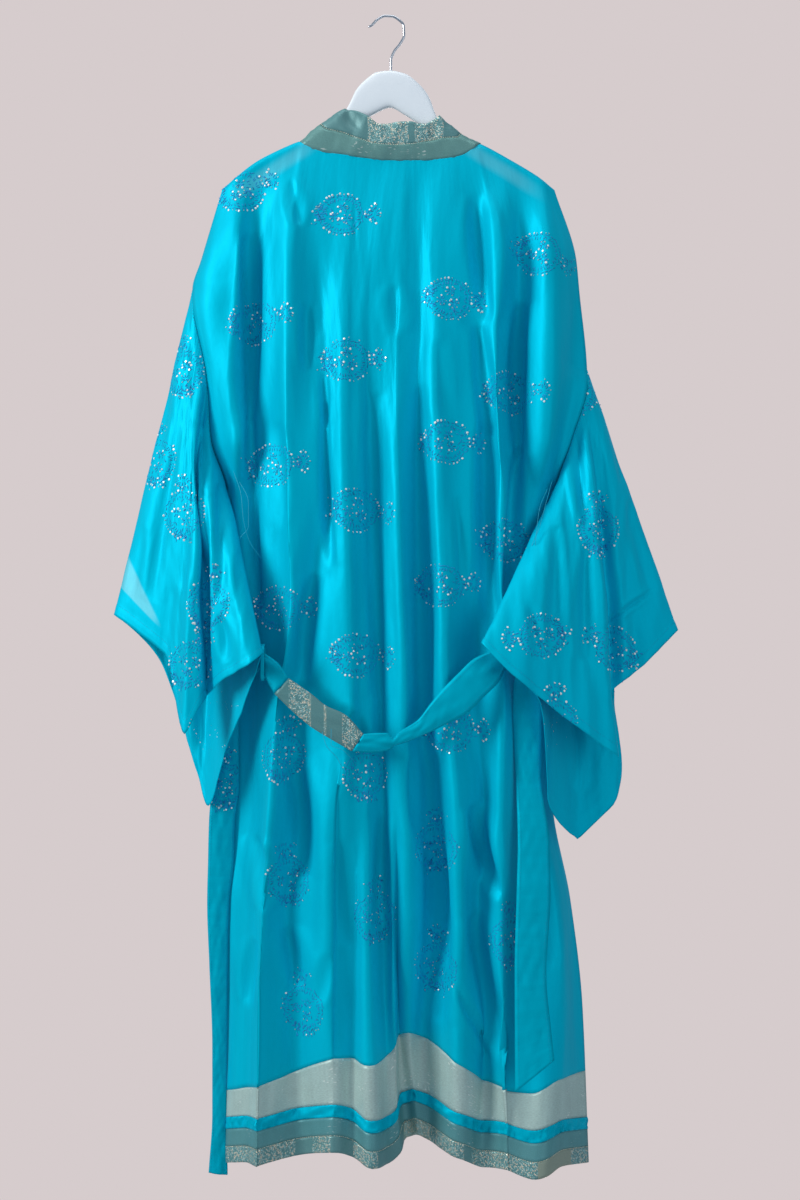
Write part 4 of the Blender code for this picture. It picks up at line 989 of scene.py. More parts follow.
class Wire:
    """A value in a material; an expression on it adds the Math nodes that work it out."""

    def __init__(self, finish, socket):
        self.finish, self.socket = finish, socket

    def math(self, operation, *values):
        return self.finish.node("ShaderNodeMath", {"operation": operation}, dict(enumerate(values)))

    def __add__(self, other):
        return self.math("ADD", self, other)

    def __sub__(self, other):
        return self.math("SUBTRACT", self, other)

    def __rsub__(self, other):
        return self.math("SUBTRACT", other, self)

    def __mul__(self, other):
        return self.math("MULTIPLY", self, other)

    def __truediv__(self, other):
        return self.math("DIVIDE", self, other)

    def __rtruediv__(self, other):
        return self.math("DIVIDE", other, self)

    def __gt__(self, other):
        return self.math("GREATER_THAN", self, other)

    def __lt__(self, other):
        return self.math("LESS_THAN", self, other)

    def __abs__(self):
        return self.math("ABSOLUTE", self)

    __radd__, __rmul__ = __add__, __mul__

    def between(self, low, high):
        """0 below `low`, 1 above `high` and even between them."""
        return self.finish.node("ShaderNodeMapRange", {"interpolation_type": "SMOOTHSTEP"},
                                {"Value": self, "From Min": low, "From Max": high})


class Nodes:
    """A node tree and the one way in which nodes are added to it."""

    def __init__(self, tree):
        self.tree = tree

    def plug(self, socket, value):
        if isinstance(value, Wire):
            self.tree.links.new(value.socket, socket)
        else:
            socket.default_value = value

    def node(self, kind, settings=None, sockets=None, output=0):
        """A node of a kind: its settings, then the values or links of its sockets."""
        made = self.tree.nodes.new(kind)
        for key, value in (settings or {}).items():
            if key == "stops":
                ramp = made.color_ramp
                ramp.interpolation = value[0]
                for k, (at, colour) in enumerate(value[1]):
                    stop = ramp.elements[k] if k < 2 else ramp.elements.new(at)
                    stop.position, stop.color = at, colour
            else:
                setattr(made, key, value)
        for socket, value in (sockets or {}).items():
            self.plug(made.inputs[socket], value)
        return Wire(self, made.outputs[output]) if made.outputs else None


class Finish(Nodes):
    """A material and the nodes that feed its shader; fixed numbers go on the shader's own sockets."""

    def __init__(self, name, **fixed):
        self.material = bpy.data.materials.new(name)
        self.material.use_nodes = True
        super().__init__(self.material.node_tree)
        self.shader = self.tree.nodes["Principled BSDF"]
        for socket, value in fixed.items():
            self.set(socket.replace("_", " "), value)

    def set(self, socket, value):
        self.plug(self.shader.inputs[socket], value)

    def uv(self, across, down):
        """The piece's own map, stretched; the map is in metres."""
        where = self.node("ShaderNodeTexCoord", output="UV")
        return self.node("ShaderNodeMapping", None, {"Vector": where, "Scale": (across, down, 1.0)})

    def place(self, scale=1.0):
        where = self.node("ShaderNodeTexCoord", output="Object")
        return self.node("ShaderNodeMapping", None, {"Vector": where, "Scale": (scale, scale, scale)})

    def noise(self, where, detail=2.0, rough=0.5):
        return self.node("ShaderNodeTexNoise", None,
                         {"Vector": where, "Scale": 1.0, "Detail": detail, "Roughness": rough})

    def cells(self, where, output="Distance"):
        return self.node("ShaderNodeTexVoronoi", None, {"Vector": where, "Scale": 1.0}, output)

    def split(self, vector, axis):
        return self.node("ShaderNodeSeparateXYZ", None, {0: vector}, axis)

    def mix(self, first, second, factor):
        return self.node("ShaderNodeMix", {"data_type": "RGBA"}, {0: factor, 6: first, 7: second}, 2)

    def relief(self, height):
        """Bump from a height in metres."""
        bump = self.node("ShaderNodeBump", None, {"Height": height, "Distance": 1.0, "Strength": 1.0})
        self.set("Normal", bump)


def rgb(*colour):
    return (*colour, 1.0)


def dimmed(colour, by):
    return rgb(*(c * by for c in colour[:3]))


def painted_light_over_shoulders(f):
    """Painted light: a lighter strip over the shoulders, standing in for light coming through the thin silk
    off the white wood of the hanger.
    """
    x, z = f.split(f.place(), "X"), f.split(f.place(), "Z")
    out = abs(x)
    off = abs(z + out * 0.625 + 0.114)
    reach = out.between(0.085, 0.125) * (1.0 - out.between(0.170, 0.222))
    return (1.0 - off.between(0.003, 0.016)) * reach * 0.24


def painted_light_through_cuff(f):
    """Painted light: a lighter patch above the left cuff hem, where one layer of a sleeve lets the light
    through.
    """
    x, z = f.split(f.place(), "X"), f.split(f.place(), "Z")
    along = (x + 0.3637) * 0.725 - (z + 0.8027) * 0.688
    up = (x + 0.3637) * 0.688 + (z + 0.8027) * 0.725
    depth = up.between(0.0125, 0.0150) * (1.0 - (up + along * 0.34).between(0.036, 0.040))
    return depth * (1.0 - along.between(0.040, 0.066)) * 0.5


def silk_finish(name, colour, thin=None):
    """Soft silk: a broad sheen, faint streaks along the warp, slubs across it and a few crinkles."""
    f = Finish(name, Metallic=0.24, Specular_IOR_Level=0.16, Specular_Tint=rgb(0.0, 0.80, 1.0))
    streaks = f.noise(f.uv(60.0, 2.2), 2.0)
    clouds = f.noise(f.uv(9.0, 4.0), 2.0)
    tone = 0.5 + (streaks - 0.5) * 0.5 + (clouds - 0.5) * 0.7
    base = f.mix(dimmed(colour, 0.84), dimmed(colour, 1.14), tone)
    # Painted light: where the thin mask is set, the silk is lightened towards a pale cyan, as light coming
    # through it.
    f.set("Base Color", f.mix(base, rgb(0.28, 0.70, 0.76), thin(f)) if thin else base)
    slubs = f.noise(f.uv(420.0, 2400.0), 1.0)
    crinkles = f.noise(f.uv(70.0, 22.0), 3.0, 0.5)
    f.set("Roughness", 0.52 + (slubs - 0.5) * 0.16 + (clouds - 0.5) * 0.14)
    f.relief(slubs * 0.00003 + crinkles * 0.0009)
    return f.material


def zari_finish(name, colour, metal, lines, sparkle):
    """Woven metallic band: fine threads across it, soft cloudy shine, and a few paler, smoother threads whose
    light tone is a painted glint.
    """
    f = Finish(name, Metallic=metal, Specular_IOR_Level=0.4)
    threads = f.noise(f.uv(lines, 900.0), 1.0)
    clouds = f.noise(f.uv(26.0, 40.0), 2.0)
    fold = f.noise(f.uv(70.0, 8.0), 2.0)
    tone = 0.5 + (threads - 0.5) * 1.3 + (clouds - 0.5) * 0.5 + (fold - 0.5) * 0.6
    base = f.mix(dimmed(colour, 0.80), dimmed(colour, 1.18), tone)
    # Painted glint: a few threads are paler and smoother, and their light tone stands in for the glints where
    # they catch the light.
    dash = f.noise(f.uv(170.0, 620.0), 0.0).between(0.66, 0.72)
    rare = f.noise(f.uv(24.0, 30.0), 1.0).between(0.56, 0.66)
    painted_glint = dash * rare * sparkle
    f.set("Base Color", f.mix(base, rgb(0.86, 0.92, 0.86), painted_glint))
    f.set("Roughness", 0.46 - painted_glint * 0.22 + (threads - 0.5) * 0.2)
    f.relief(threads * 0.00012 + clouds * 0.0004)
    return f.material


def brocade_finish(name, stops, low, high):
    """Patchwork of brocade with metallic flecks, plain teal and sage pieces, laid along x."""
    f = Finish(name, Specular_IOR_Level=0.45)
    along = f.split(f.place(), "X")
    kinds = {"brocade": rgb(1, 0, 0), "plain": rgb(0, 0, 0), "sage": rgb(0, 1, 0), "gold": rgb(1, 0, 1)}
    ramp = f.node("ShaderNodeValToRGB",
                  {"stops": ("CONSTANT", [((x - low) / (high - low), kinds[kind]) for x, kind in stops])},
                  {0: (along - low * MM) / ((high - low) * MM)})
    patch = f.split(ramp, "X")
    sage = f.split(ramp, "Y")
    gold = f.split(ramp, "Z")
    weave = f.uv(560.0, 480.0)
    cell = f.cells(weave)
    hue = f.split(f.cells(weave, "Color"), "X")
    fleck = (1.0 - cell.between(0.38, 0.60)) * (hue > 0.15) * patch
    threads = f.noise(f.uv(1500.0, 420.0), 1.0)
    ground = f.mix(rgb(0.07, 0.23, 0.25), rgb(0.17, 0.35, 0.34), threads)
    ground = f.mix(ground, f.mix(rgb(0.25, 0.31, 0.25), rgb(0.33, 0.40, 0.32), threads), sage)
    ground = f.mix(ground, f.mix(rgb(0.16, 0.31, 0.29), rgb(0.30, 0.41, 0.35), threads), gold)
    shine = f.mix(rgb(0.42, 0.68, 0.66), rgb(0.88, 0.76, 0.58), hue.between(0.45, 0.8))
    f.set("Base Color", f.mix(ground, shine, fleck))
    f.set("Metallic", 0.2 + fleck * 0.3)
    f.set("Roughness", 0.46 - fleck * 0.2)
    f.relief(fleck * 0.00025 + threads * 0.0001)
    return f.material


def painted_wood():
    """White paint over faint grain."""
    f = Finish("white_paint_smooth", Coat_Weight=0.35, Coat_Roughness=0.18, Specular_IOR_Level=0.5)
    grain = f.noise(f.place(60.0), 4.0)
    f.set("Base Color", f.mix(rgb(0.84, 0.90, 0.95), rgb(0.90, 0.95, 0.99), grain))
    f.set("Roughness", 0.32 + (grain - 0.5) * 0.12)
    f.relief(grain * 0.00006)
    return f.material


def polished_wire():
    """Chromed wire with light wear."""
    f = Finish("chrome_wire", Metallic=1.0)
    wear = f.noise(f.place(420.0), 3.0)
    f.set("Base Color", f.mix(rgb(0.52, 0.54, 0.60), rgb(0.74, 0.76, 0.80), wear))
    f.set("Roughness", 0.14 + wear * 0.16)
    f.relief(wear * 0.00002)
    return f.material


def shaded(name, dark, light, metal, rough):
    """A finish whose tone is the piece's own attribute `shade`, one value for each stitch or sequin."""
    f = Finish(name, Metallic=metal, Specular_IOR_Level=0.5)
    shade = f.node("ShaderNodeAttribute", {"attribute_name": "shade"}, None, "Fac")
    grain = f.noise(f.place(1800.0), 1.0)
    f.set("Base Color", f.mix(dark, light, shade))
    f.set("Roughness", rough + (grain - 0.5) * 0.15)
    return f.material


# ---------------------------------------------------------------- sewing

def lay(tree, x, z, side):
    """The point where a line along y meets a cloth, and the way out of it there."""
    hit, normal, _, _ = tree.ray_cast(Vector((x * MM, side * 0.6, z * MM)), Vector((0, -side, 0)))
    if hit is None:
        return None
    return hit, (normal if normal.y * side > 0 else -normal)


def set_on(hit, normal, turn, lift):
    """A frame on the cloth: x along `turn` in the plane of the cloth, z out of it."""
    across = Vector((math.cos(turn), 0.0, math.sin(turn)))
    across = (across - normal * across.dot(normal)).normalized()
    frame_of = Matrix((across, normal.cross(across), normal)).transposed().to_4x4()
    frame_of.translation = hit + normal * (lift * MM)
    return frame_of


class Heap:
    """Many small shapes in one mesh, merged in small lots so that each new one stays quick to make."""

    def __init__(self):
        self.whole, self.lot = bmesh.new(), None
        self.whole.verts.layers.float.new("shade")

    def bm(self):
        if self.lot is None:
            self.lot = bmesh.new()
            self.layer = self.lot.verts.layers.float.new("shade")
        return self.lot

    def shade(self, made, value):
        for vert in made["verts"]:
            vert[self.layer] = value
        if len(self.lot.verts) > LOT:
            self.merge()

    def merge(self):
        if self.lot is not None:
            mesh = bpy.data.meshes.new("lot")
            self.lot.to_mesh(mesh)
            self.lot.free()
            self.lot = None
            self.whole.from_mesh(mesh)
            bpy.data.meshes.remove(mesh)

    def finish(self, name, finish, smooth=True):
        self.merge()
        return add_object(name, self.whole, finish, smooth)


def motif_plan(draw, rich):
    """Offsets in mm and sizes of the sequins, and the stitched leaves, of one motif; the sequins marked for a
    painted glint are drawn larger.
    """
    sequins, leaves = [], []

    def sequin(px, pz, share):
        if draw.random() < share * rich:
            # Painted glint: a share of the sequins is marked to be drawn larger and given a light tone, as if
            # it caught the light.
            painted_glint = draw.random() < 0.42 * rich
            sequins.append((px, pz, draw.uniform(0.9, 1.2) if painted_glint else draw.uniform(0.5, 0.75), painted_glint))

    for k in range(40):
        a = 2 * math.pi * (k + draw.uniform(-0.25, 0.25)) / 40
        reach = 1 + draw.uniform(-0.04, 0.04)
        px, pz = 33 * math.cos(a) * reach, 29 * math.sin(a) * reach * (1 + 0.10 * math.cos(a))
        sequin(px, pz, 0.35 + 0.65 * (math.sin(2.5 * a + rich * 9) > -0.2))
        leaves.append((px * 0.90, pz * 0.90, a + math.pi / 2 + draw.uniform(-0.9, 0.9), 5.6, 1.3))
        leaves.append((px * 0.74, pz * 0.74, a + draw.uniform(-0.8, 0.8), 5.4, 1.2))
    for lobe in (math.radians(80), math.radians(200), math.radians(320)):
        cx, cz = 1 + 10 * math.cos(lobe), 10 * math.sin(lobe)
        for k in range(7):
            a = lobe + 2 * math.pi * k / 7 + draw.uniform(-0.3, 0.3)
            sequin(cx + 6.4 * math.cos(a), cz + 6.4 * math.sin(a), 0.85)
            leaves.append((cx + 3.6 * math.cos(a), cz + 3.6 * math.sin(a), a, 5.4, 1.3))
    for k in range(26):
        a = draw.uniform(0, 2 * math.pi)
        reach = math.sqrt(draw.uniform(0.05, 1))
        px, pz = -2 + 24 * math.cos(a) * reach, 22 * math.sin(a) * reach
        leaves.append((px, pz, draw.uniform(0, math.pi), 5.6, 1.2))
    for k in range(26):
        px, pz = -27 + draw.uniform(-8, 9), draw.uniform(-14, 14)
        leaves.append((px, pz, draw.uniform(-0.9, 0.9), 5.4, 1.3))
        sequin(px - 5, pz, 0.2)
    for k in range(12):
        a = 2 * math.pi * k / 12 + draw.uniform(-0.2, 0.2)
        px = 46 + 8.5 * math.copysign(abs(math.cos(a)) ** 1.4, math.cos(a))
        pz = 15 * math.copysign(abs(math.sin(a)) ** 1.4, math.sin(a))
        sequin(px, pz, 0.9)
        leaves.append((46 + (px - 46) * 0.55, pz * 0.6, a + draw.uniform(-0.5, 0.5), 5.4, 1.3))
        leaves.append((35 + draw.uniform(-2, 6), draw.uniform(-9, 9), draw.uniform(-0.6, 0.6), 5.4, 1.2))
    return sequins, leaves


def embroider(names, sides, sequin_name, thread_name, sequin_finish, thread_finish, size):
    """The motifs on some of the cloths as one mesh of thread and one of sequins."""
    thread_heap, sequin_heap = Heap(), Heap()
    for number, (cloth_name, x, z, turn) in enumerate(MOTIFS):
        if cloth_name not in names:
            continue
        piece = names[cloth_name]
        tree, side = made_before(SKINS, piece), sides[cloth_name]
        draw = random.Random(1000 + number)
        sequins, leaves = motif_plan(draw, 0.95 if z > -1060 else 0.5)
        angle = math.radians(turn)
        c, s = math.cos(angle), math.sin(angle)
        for px, pz, way, length, width in leaves:
            met = lay(tree, x + px * c - pz * s, z + px * s + pz * c, side)
            if met is None or abs(met[1].y) < FLAT_ENOUGH:
                continue
            tone = draw.random()
            at = set_on(*met, angle + way, THREAD_LIFT)
            size_of = Matrix.Diagonal((length / 2 * MM, width / 2 * MM, THREAD_THICK / 2 * MM, 1.0))
            made = bmesh.ops.create_icosphere(thread_heap.bm(), subdivisions=1, radius=1.0,
                                              matrix=at @ size_of)
            # About one stitch in eight gets a very dark tone, painted shade standing in for the gaps between
            # the threads.
            thread_heap.shade(made, 0.1 if tone < 0.12 else 0.4 + 0.6 * tone)
        for px, pz, scale, painted_glint in sequins:
            met = lay(tree, x + px * c - pz * s, z + px * s + pz * c, side)
            tilt = (draw.gauss(0, 0.2), draw.gauss(0, 0.2))
            tone = draw.random()
            if met is None or abs(met[1].y) < FLAT_ENOUGH:
                continue
            at = set_on(*met, angle, SEQUIN_LIFT)
            at = at @ Matrix.Rotation(tilt[0], 4, "X") @ Matrix.Rotation(tilt[1], 4, "Y")
            radius = size * scale * MM
            made = bmesh.ops.create_cone(sequin_heap.bm(), cap_ends=True, segments=8, radius1=radius,
                                         radius2=radius * SEQUIN_TOP, depth=SEQUIN_THICK * MM, matrix=at)
            # Painted glint and painted shade: marked sequins get a light tone, the rest a dark one.
            sequin_heap.shade(made, 0.7 + 0.3 * tone if painted_glint else 0.45 * tone)
    if not (thread_heap.whole.verts and sequin_heap.whole.verts):
        raise RuntimeError("No motif met the cloth for " + thread_name)
    thread = thread_heap.finish(thread_name, thread_finish)
    sequin = sequin_heap.finish(sequin_name, sequin_finish, smooth=False)
    for ob in (thread, sequin):
        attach(ob, "root")


def stitches(heap, points, normals, pitch, length, thick, lift, draw, across=0.0):
    """A row of stitches along a line on a cloth."""
    points, normals = np.asarray(points, float), unit(np.asarray(normals, float))
    along = run_of(points)
    for at in np.arange(pitch / 2, along[-1], pitch):
        wander = draw.uniform(-0.15, 0.15) * pitch
        spot = np.array([np.interp(at + wander, along, points[:, k]) for k in range(3)])
        ahead = np.array([np.interp(at + wander + 1.0, along, points[:, k]) for k in range(3)])
        out = Vector(unit(np.array([np.interp(at, along, normals[:, k]) for k in range(3)])))
        way = Vector(ahead - spot)
        way = (way - out * way.dot(out)).normalized()
        side = out.cross(way)
        turned = (way + side * (across + draw.uniform(-0.12, 0.12))).normalized()
        frame_of = Matrix((turned, out.cross(turned), out)).transposed().to_4x4()
        frame_of.translation = (Vector(spot) + out * lift) * MM
        size_of = Matrix.Diagonal((length / 2 * MM, thick / 2 * MM, thick / 2 * MM, 1.0))
        made = bmesh.ops.create_icosphere(heap.bm(), subdivisions=1, radius=1.0, matrix=frame_of @ size_of)
        heap.shade(made, draw.random())


# ---------------------------------------------------------------- settings

class RobeCloth(bpy.types.PropertyGroup):
    silk: FloatVectorProperty(name="Silk", description="Colour of the turquoise silk", subtype="COLOR",
                              size=3, default=(0.0, 0.53, 0.72), min=0.0, max=1.0)
    ripple: FloatProperty(name="Ripple", default=1.0, min=0.0, max=3.0,
                          description="Height of the soft ripples in the cloth, in millimetres")
    thickness: FloatProperty(name="Thickness", description="Thickness of the silk, in millimetres",
                             default=CLOTH, min=0.3, max=1.5)


class RobeSewing(bpy.types.PropertyGroup):
    sequin: FloatProperty(name="Sequin radius", description="Radius of a sequin, in millimetres",
                          default=1.45, min=0.5, max=4.0)
    stitch: FloatProperty(name="Stitch pitch", description="Distance between stitches, in millimetres",
                          default=3.2, min=1.5, max=10.0)


class RobeStage(bpy.types.PropertyGroup):
    backdrop: FloatVectorProperty(name="Backdrop", description="Colour behind the robe", subtype="COLOR",
                                  size=3, default=(0.672, 0.604, 0.610), min=0.0, max=1.0)
    key: FloatProperty(name="Key light", description="Power of the large key light", unit="POWER",
                       default=84.0, min=0.0, max=500.0)
    fill: FloatProperty(name="Fill light", description="Power of the fill light", unit="POWER",
                        default=13.0, min=0.0, max=500.0)


# ---------------------------------------------------------------- operators

def made_before(table, name):
    """A shape that an earlier step leaves for this one."""
    if name not in table:
        raise RuntimeError(name + " has to be made first")
    return table[name]


def silk_of(name, by=1.0, thin=None):
    """One silk for each name, in the colour that the user chose."""
    made = bpy.data.materials.get(name)
    return made or silk_finish(name, dimmed(bpy.context.scene.robe_cloth.silk, by), thin)


def band_finish(slot, name, stops, low, high):
    """The finish of a hem band."""
    made = bpy.data.materials.get(name)
    if made:
        return made
    if slot == "silver_zari":
        return zari_finish(name, rgb(0.44, 0.60, 0.56), 0.18, 260.0, 1.0)
    if slot == "teal_zari":
        return zari_finish(name, rgb(0.11, 0.33, 0.35), 0.28, 700.0, 0.35)
    if slot == "turquoise_strip":
        return silk_finish(name, dimmed(bpy.context.scene.robe_cloth.silk, 0.98))
    return brocade_finish(name, stops, low, high)


def make_panel(name, node, panel, facts):
    """A body panel and its hem bands."""
    flat, area, band_flat, held = facts
    points, normals = panel.grid(DOWNS)
    SHAPES[name] = (panel, points, normals)
    # The body silk carries the painted light over the shoulders.
    ob = cloth(name, points, normals, silk_of("silk_body", thin=painted_light_over_shoulders),
               thick=bpy.context.scene.robe_cloth.thickness)
    place_sheet(ob, [node], "silk", flat, held, area)
    for band, slot, points, normals, depth in hem_bands(panel):
        key = name + "_" + band
        LINES[key] = (points[0], normals[0])
        finish = band_finish(slot, slot + ("_" + name if slot == "brocade" else "_cloth"), *PATCHES[name])
        ob = cloth(key, points, normals, finish, thick=BAND_CLOTH)
        gather, band_held = (GATHER, "gathered") if band == "turquoise_band" else (1.0, "hung")
        place_sheet(ob, [node.replace("_panel", "") + "_" + band], slot,
                    (band_flat * gather, depth * MM), band_held)


class ROBE_OT_back(bpy.types.Operator):
    """Back panel and its hem bands"""
    bl_idname = "robe.back"
    bl_label = "Back"

    def execute(self, context):
        armholes = {"seam_left": ARMHOLE_LEFT, "seam_right": ARMHOLE_RIGHT}
        make_panel("silk_back", "back_panel", Panel(BACK, armholes, BACK_CREASES, 11), SHEETS["back"])
        return {"FINISHED"}


class ROBE_OT_fronts(bpy.types.Operator):
    """Both fronts and their hem bands"""
    bl_idname = "robe.fronts"
    bl_label = "Fronts"

    def execute(self, context):
        make_panel("silk_front_left", "front_left_panel",
                   Panel(FRONT_LEFT, {"seam": ARMHOLE_LEFT}, FRONT_LEFT_CREASES, 21), SHEETS["front"])
        make_panel("silk_front_right", "front_right_panel",
                   Panel(FRONT_RIGHT, {"seam": ARMHOLE_RIGHT}, FRONT_RIGHT_CREASES, 31), SHEETS["front"])
        return {"FINISHED"}


class ROBE_OT_sleeves(bpy.types.Operator):
    """Both sleeves with their turned cuff hems"""
    bl_idname = "robe.sleeves"
    bl_label = "Sleeves"

    def execute(self, context):
        back = made_before(SHAPES, "silk_back")[1]
        for side, table, armhole, parts, column, near, far, seed in (
                ("left", SLEEVE_LEFT, ARMHOLE_LEFT, 1, 0, LEFT_SLEEVE_CREASES, LEFT_SLEEVE_FAR_CREASES, 41),
                ("right", SLEEVE_RIGHT, ARMHOLE_RIGHT, 2, back.shape[1] - 1, RIGHT_SLEEVE_CREASES,
                 RIGHT_SLEEVE_FAR_CREASES, 51)):
            front = made_before(SHAPES, "silk_front_" + side)[1]
            grid, normals, places = sleeve_grid(table, back, front, column, armhole, parts, 118)
            points = sleeve_cloth(grid, normals, places, near, far, seed)
            name = "silk_sleeve_" + side
            # The sleeve silk carries the painted light above the left cuff.
            ob = cloth(name, points, normals, silk_of("silk_sleeve", 1.04, painted_light_through_cuff), ring=True,
                       thick=context.scene.robe_cloth.thickness)
            SHAPES[name] = (places, points, normals)
            flat, area = SHEETS["sleeve_" + side]
            place_sheet(ob, ["sleeve_" + side], "sleeve_silk", flat, "hung", area)
        return {"FINISHED"}


class ROBE_OT_neckband(bpy.types.Operator):
    """The two strips of the neckband, down both fronts and round the neck"""
    bl_idname = "robe.neckband"
    bl_label = "Neckband"

    def execute(self, context):
        back, left, right = (made_before(SHAPES, "silk_" + panel)[:2]
                             for panel in ("back", "front_left", "front_right"))
        outer, joint, inner = neckband_lines(back[1], left, right)
        teal = zari_finish("teal_neckband", rgb(0.15, 0.335, 0.315), 0.28, 900.0, 0.5)
        patch = brocade_finish("brocade_neckband", *PATCHES["neckband"])
        for part, first, second, finish, rows, slot in (
                ("outer", outer, joint, teal, 8, "teal_zari"), ("inner", joint, inner, patch, 10, "brocade")):
            points, normals = band_grid(first, second, rows, 0.8)
            x, z = points[..., 0], points[..., 2]
            push = ripple() * (0.5 * waves(x, z, 61, 26, 60) + 0.25 * waves(x, z, 62, 9, 30))
            push += creased(x, z, NECKBAND_CREASES)
            points = points + normals * push[..., None]
            ob = cloth("neckband_" + part, points, normals, finish, thick=NECKBAND_CLOTH)
            LINES["neckband_" + part] = (points[0], normals[0])
            place_sheet(ob, ["neckband_" + part + "_strip"], slot, SHEETS["neckband_" + part][0], "hung")
        return {"FINISHED"}


class ROBE_OT_belt(bpy.types.Operator):
    """The tie belt: its run across the back, its hanging ends and the belt loops"""
    bl_idname = "robe.belt"
    bl_label = "Belt"

    def execute(self, context):
        silk = silk_of("silk_belt", 0.88)
        patch = brocade_finish("brocade_belt", *PATCHES["belt"])
        for name, node, table, slot, finish, seed in (
                ("tie_left_run", "belt_left_run", BELT_LEFT_RUN, "belt_silk", silk, 71),
                ("tie_patch", "belt_patch", BELT_PATCH, "brocade", patch, 72),
                ("tie_right_run", "belt_right_run", BELT_RIGHT_RUN, "belt_silk", silk, 73),
                ("tie_left_end", "belt_left_end", BELT_LEFT_END, "belt_silk", silk, 74),
                ("tie_right_end", "belt_right_end", BELT_RIGHT_END, "belt_silk", silk, 75)):
            points, normals = ribbon_grid(table, seed)
            ob = cloth(name, points, normals, finish, thick=BELT_CLOTH)
            SHAPES[name] = (None, points, normals)
            place_sheet(ob, [node], slot, SHEETS[name][0], "hung")
        for name, node, *measures in LOOPS:
            points, normals = loop_grid(*measures)
            ob = cloth(name, points, normals, silk, ring=True, thick=BAND_CLOTH)
            place_sheet(ob, [node], "belt_silk", SHEETS["loop"][0], "hung", SHEETS["loop"][1])
        return {"FINISHED"}


class ROBE_OT_hanger(bpy.types.Operator):
    """Painted wooden hanger and its wire hook"""
    bl_idname = "robe.hanger"
    bl_label = "Hanger"

    def execute(self, context):
        wood = add_object("hanger_wood", hanger_mesh(), painted_wood())
        path = np.array(HOOK, float)
        run = run_of(path)
        line = smooth_through(run, path, np.linspace(0, run[-1], 96))
        line = np.stack([line[:, 0], 0 * line[:, 0], line[:, 1]], axis=1)
        radius = np.full(len(line), WIRE_RADIUS)
        radius[-4:] *= np.array([0.98, 0.9, 0.72, 0.4])
        wire = add_object("hook_wire", tube(line, radius, 14), polished_wire())
        for ob, node, slot in ((wood, "hanger_body", "white_paint"), (wire, "hanger_hook", "chrome")):
            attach(ob, "root")
            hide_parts(node)
        return {"FINISHED"}


class ROBE_OT_embroidery(bpy.types.Operator):
    """Stitched motifs with their sequins"""
    bl_idname = "robe.embroidery"
    bl_label = "Embroidery"

    def execute(self, context):
        # Sequins run by their tone from a dark teal, painted shade, to white, a painted glint.
        sequin = shaded("sequin_shine", rgb(0.22, 0.42, 0.46), rgb(1.0, 0.99, 0.96), 0.15, 0.28)
        thread = shaded("thread_blue", rgb(0.0, 0.13, 0.34), rgb(0.0, 0.36, 0.76), 0.05, 0.55)
        size = context.scene.robe_sewing.sequin
        for part, names, side in (
                ("back", {"back": "silk_back", "belt_left": "tie_left_end"}, -1),
                ("sleeves", {side + "_sleeve" + layer: "silk_sleeve_" + side
                             for side in ("left", "right") for layer in ("", "_far")}, 0),
                ("fronts", {"left_front": "silk_front_left", "right_front": "silk_front_right"}, 1)):
            sides = {key: side or (1 if key.endswith("far") else -1) for key in names}
            embroider(names, sides, "sequins_" + part, "embroidery_" + part, sequin, thread, size)
        return {"FINISHED"}


class ROBE_OT_stitching(bpy.types.Operator):
    """Seam and hem stitches and a few loose threads"""
    bl_idname = "robe.stitching"
    bl_label = "Stitching"

    def execute(self, context):
        pitch = context.scene.robe_sewing.stitch
        draw = random.Random(5)
        pale = shaded("thread_pale", rgb(0.55, 0.55, 0.42), rgb(0.95, 0.90, 0.72), 0.0, 0.55)
        teal = shaded("thread_teal", rgb(0.0, 0.30, 0.46), rgb(0.0, 0.48, 0.66), 0.0, 0.5)

        heap = Heap()
        points, normals = made_before(LINES, "neckband_inner")
        stitches(heap, points, normals, pitch, 2.4, 0.9, 0.6, draw)
        for name in ("silk_back", "silk_front_left", "silk_front_right"):
            points, normals = made_before(LINES, name + "_patch_hem")
            stitches(heap, points, normals, pitch, 2.4, 0.8, 0.4, draw)
        trim = heap.finish("stitches_pale", pale)

        heap = Heap()
        for name in ("silk_sleeve_left", "silk_sleeve_right"):
            _, points, normals = made_before(SHAPES, name)
            run = lengths(points, 0)
            row = int(np.argmin(np.abs(run[-1] - run - CUFF_HEM)))
            closed = np.concatenate([points[row], points[row, :1]])
            out = np.concatenate([normals[row], normals[row, :1]])
            stitches(heap, closed, out, pitch, 2.2, 0.5, 0.25, draw)
            closed = np.concatenate([points[1], points[1, :1]])
            out = np.concatenate([normals[1], normals[1, :1]])
            stitches(heap, closed, out, pitch * 1.4, 2.6, 0.6, 0.2, draw)
        for name in ("silk_back", "silk_front_left", "silk_front_right"):
            points, normals = made_before(LINES, name + "_turquoise_band")
            stitches(heap, points, normals, pitch * 1.5, 1.8, 0.4, 0.2, draw)
        for name in ("tie_left_run", "tie_right_run", "tie_left_end", "tie_right_end"):
            _, points, normals = made_before(SHAPES, name)
            for row in (1, -2):
                stitches(heap, points[row], normals[row], pitch * 1.2, 2.2, 0.45, 0.2, draw)
        seams = heap.finish("stitches_teal", teal)

        bm = bmesh.new()
        layer = bm.verts.layers.float.new("shade")
        for line in LOOSE_THREADS:
            line = np.array(line, float)
            run = run_of(line)
            strand = tube(smooth_through(run, line, np.linspace(0, run[-1], 24)), THREAD_RADIUS, 5)
            mesh = bpy.data.meshes.new("strand")
            strand.to_mesh(mesh)
            strand.free()
            bm.from_mesh(mesh)
            bpy.data.meshes.remove(mesh)
        for vert in bm.verts:
            vert[layer] = 0.6
        loose = add_object("loose_threads", bm, teal)
        for ob in (trim, seams, loose):
            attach(ob, "root")
        return {"FINISHED"}


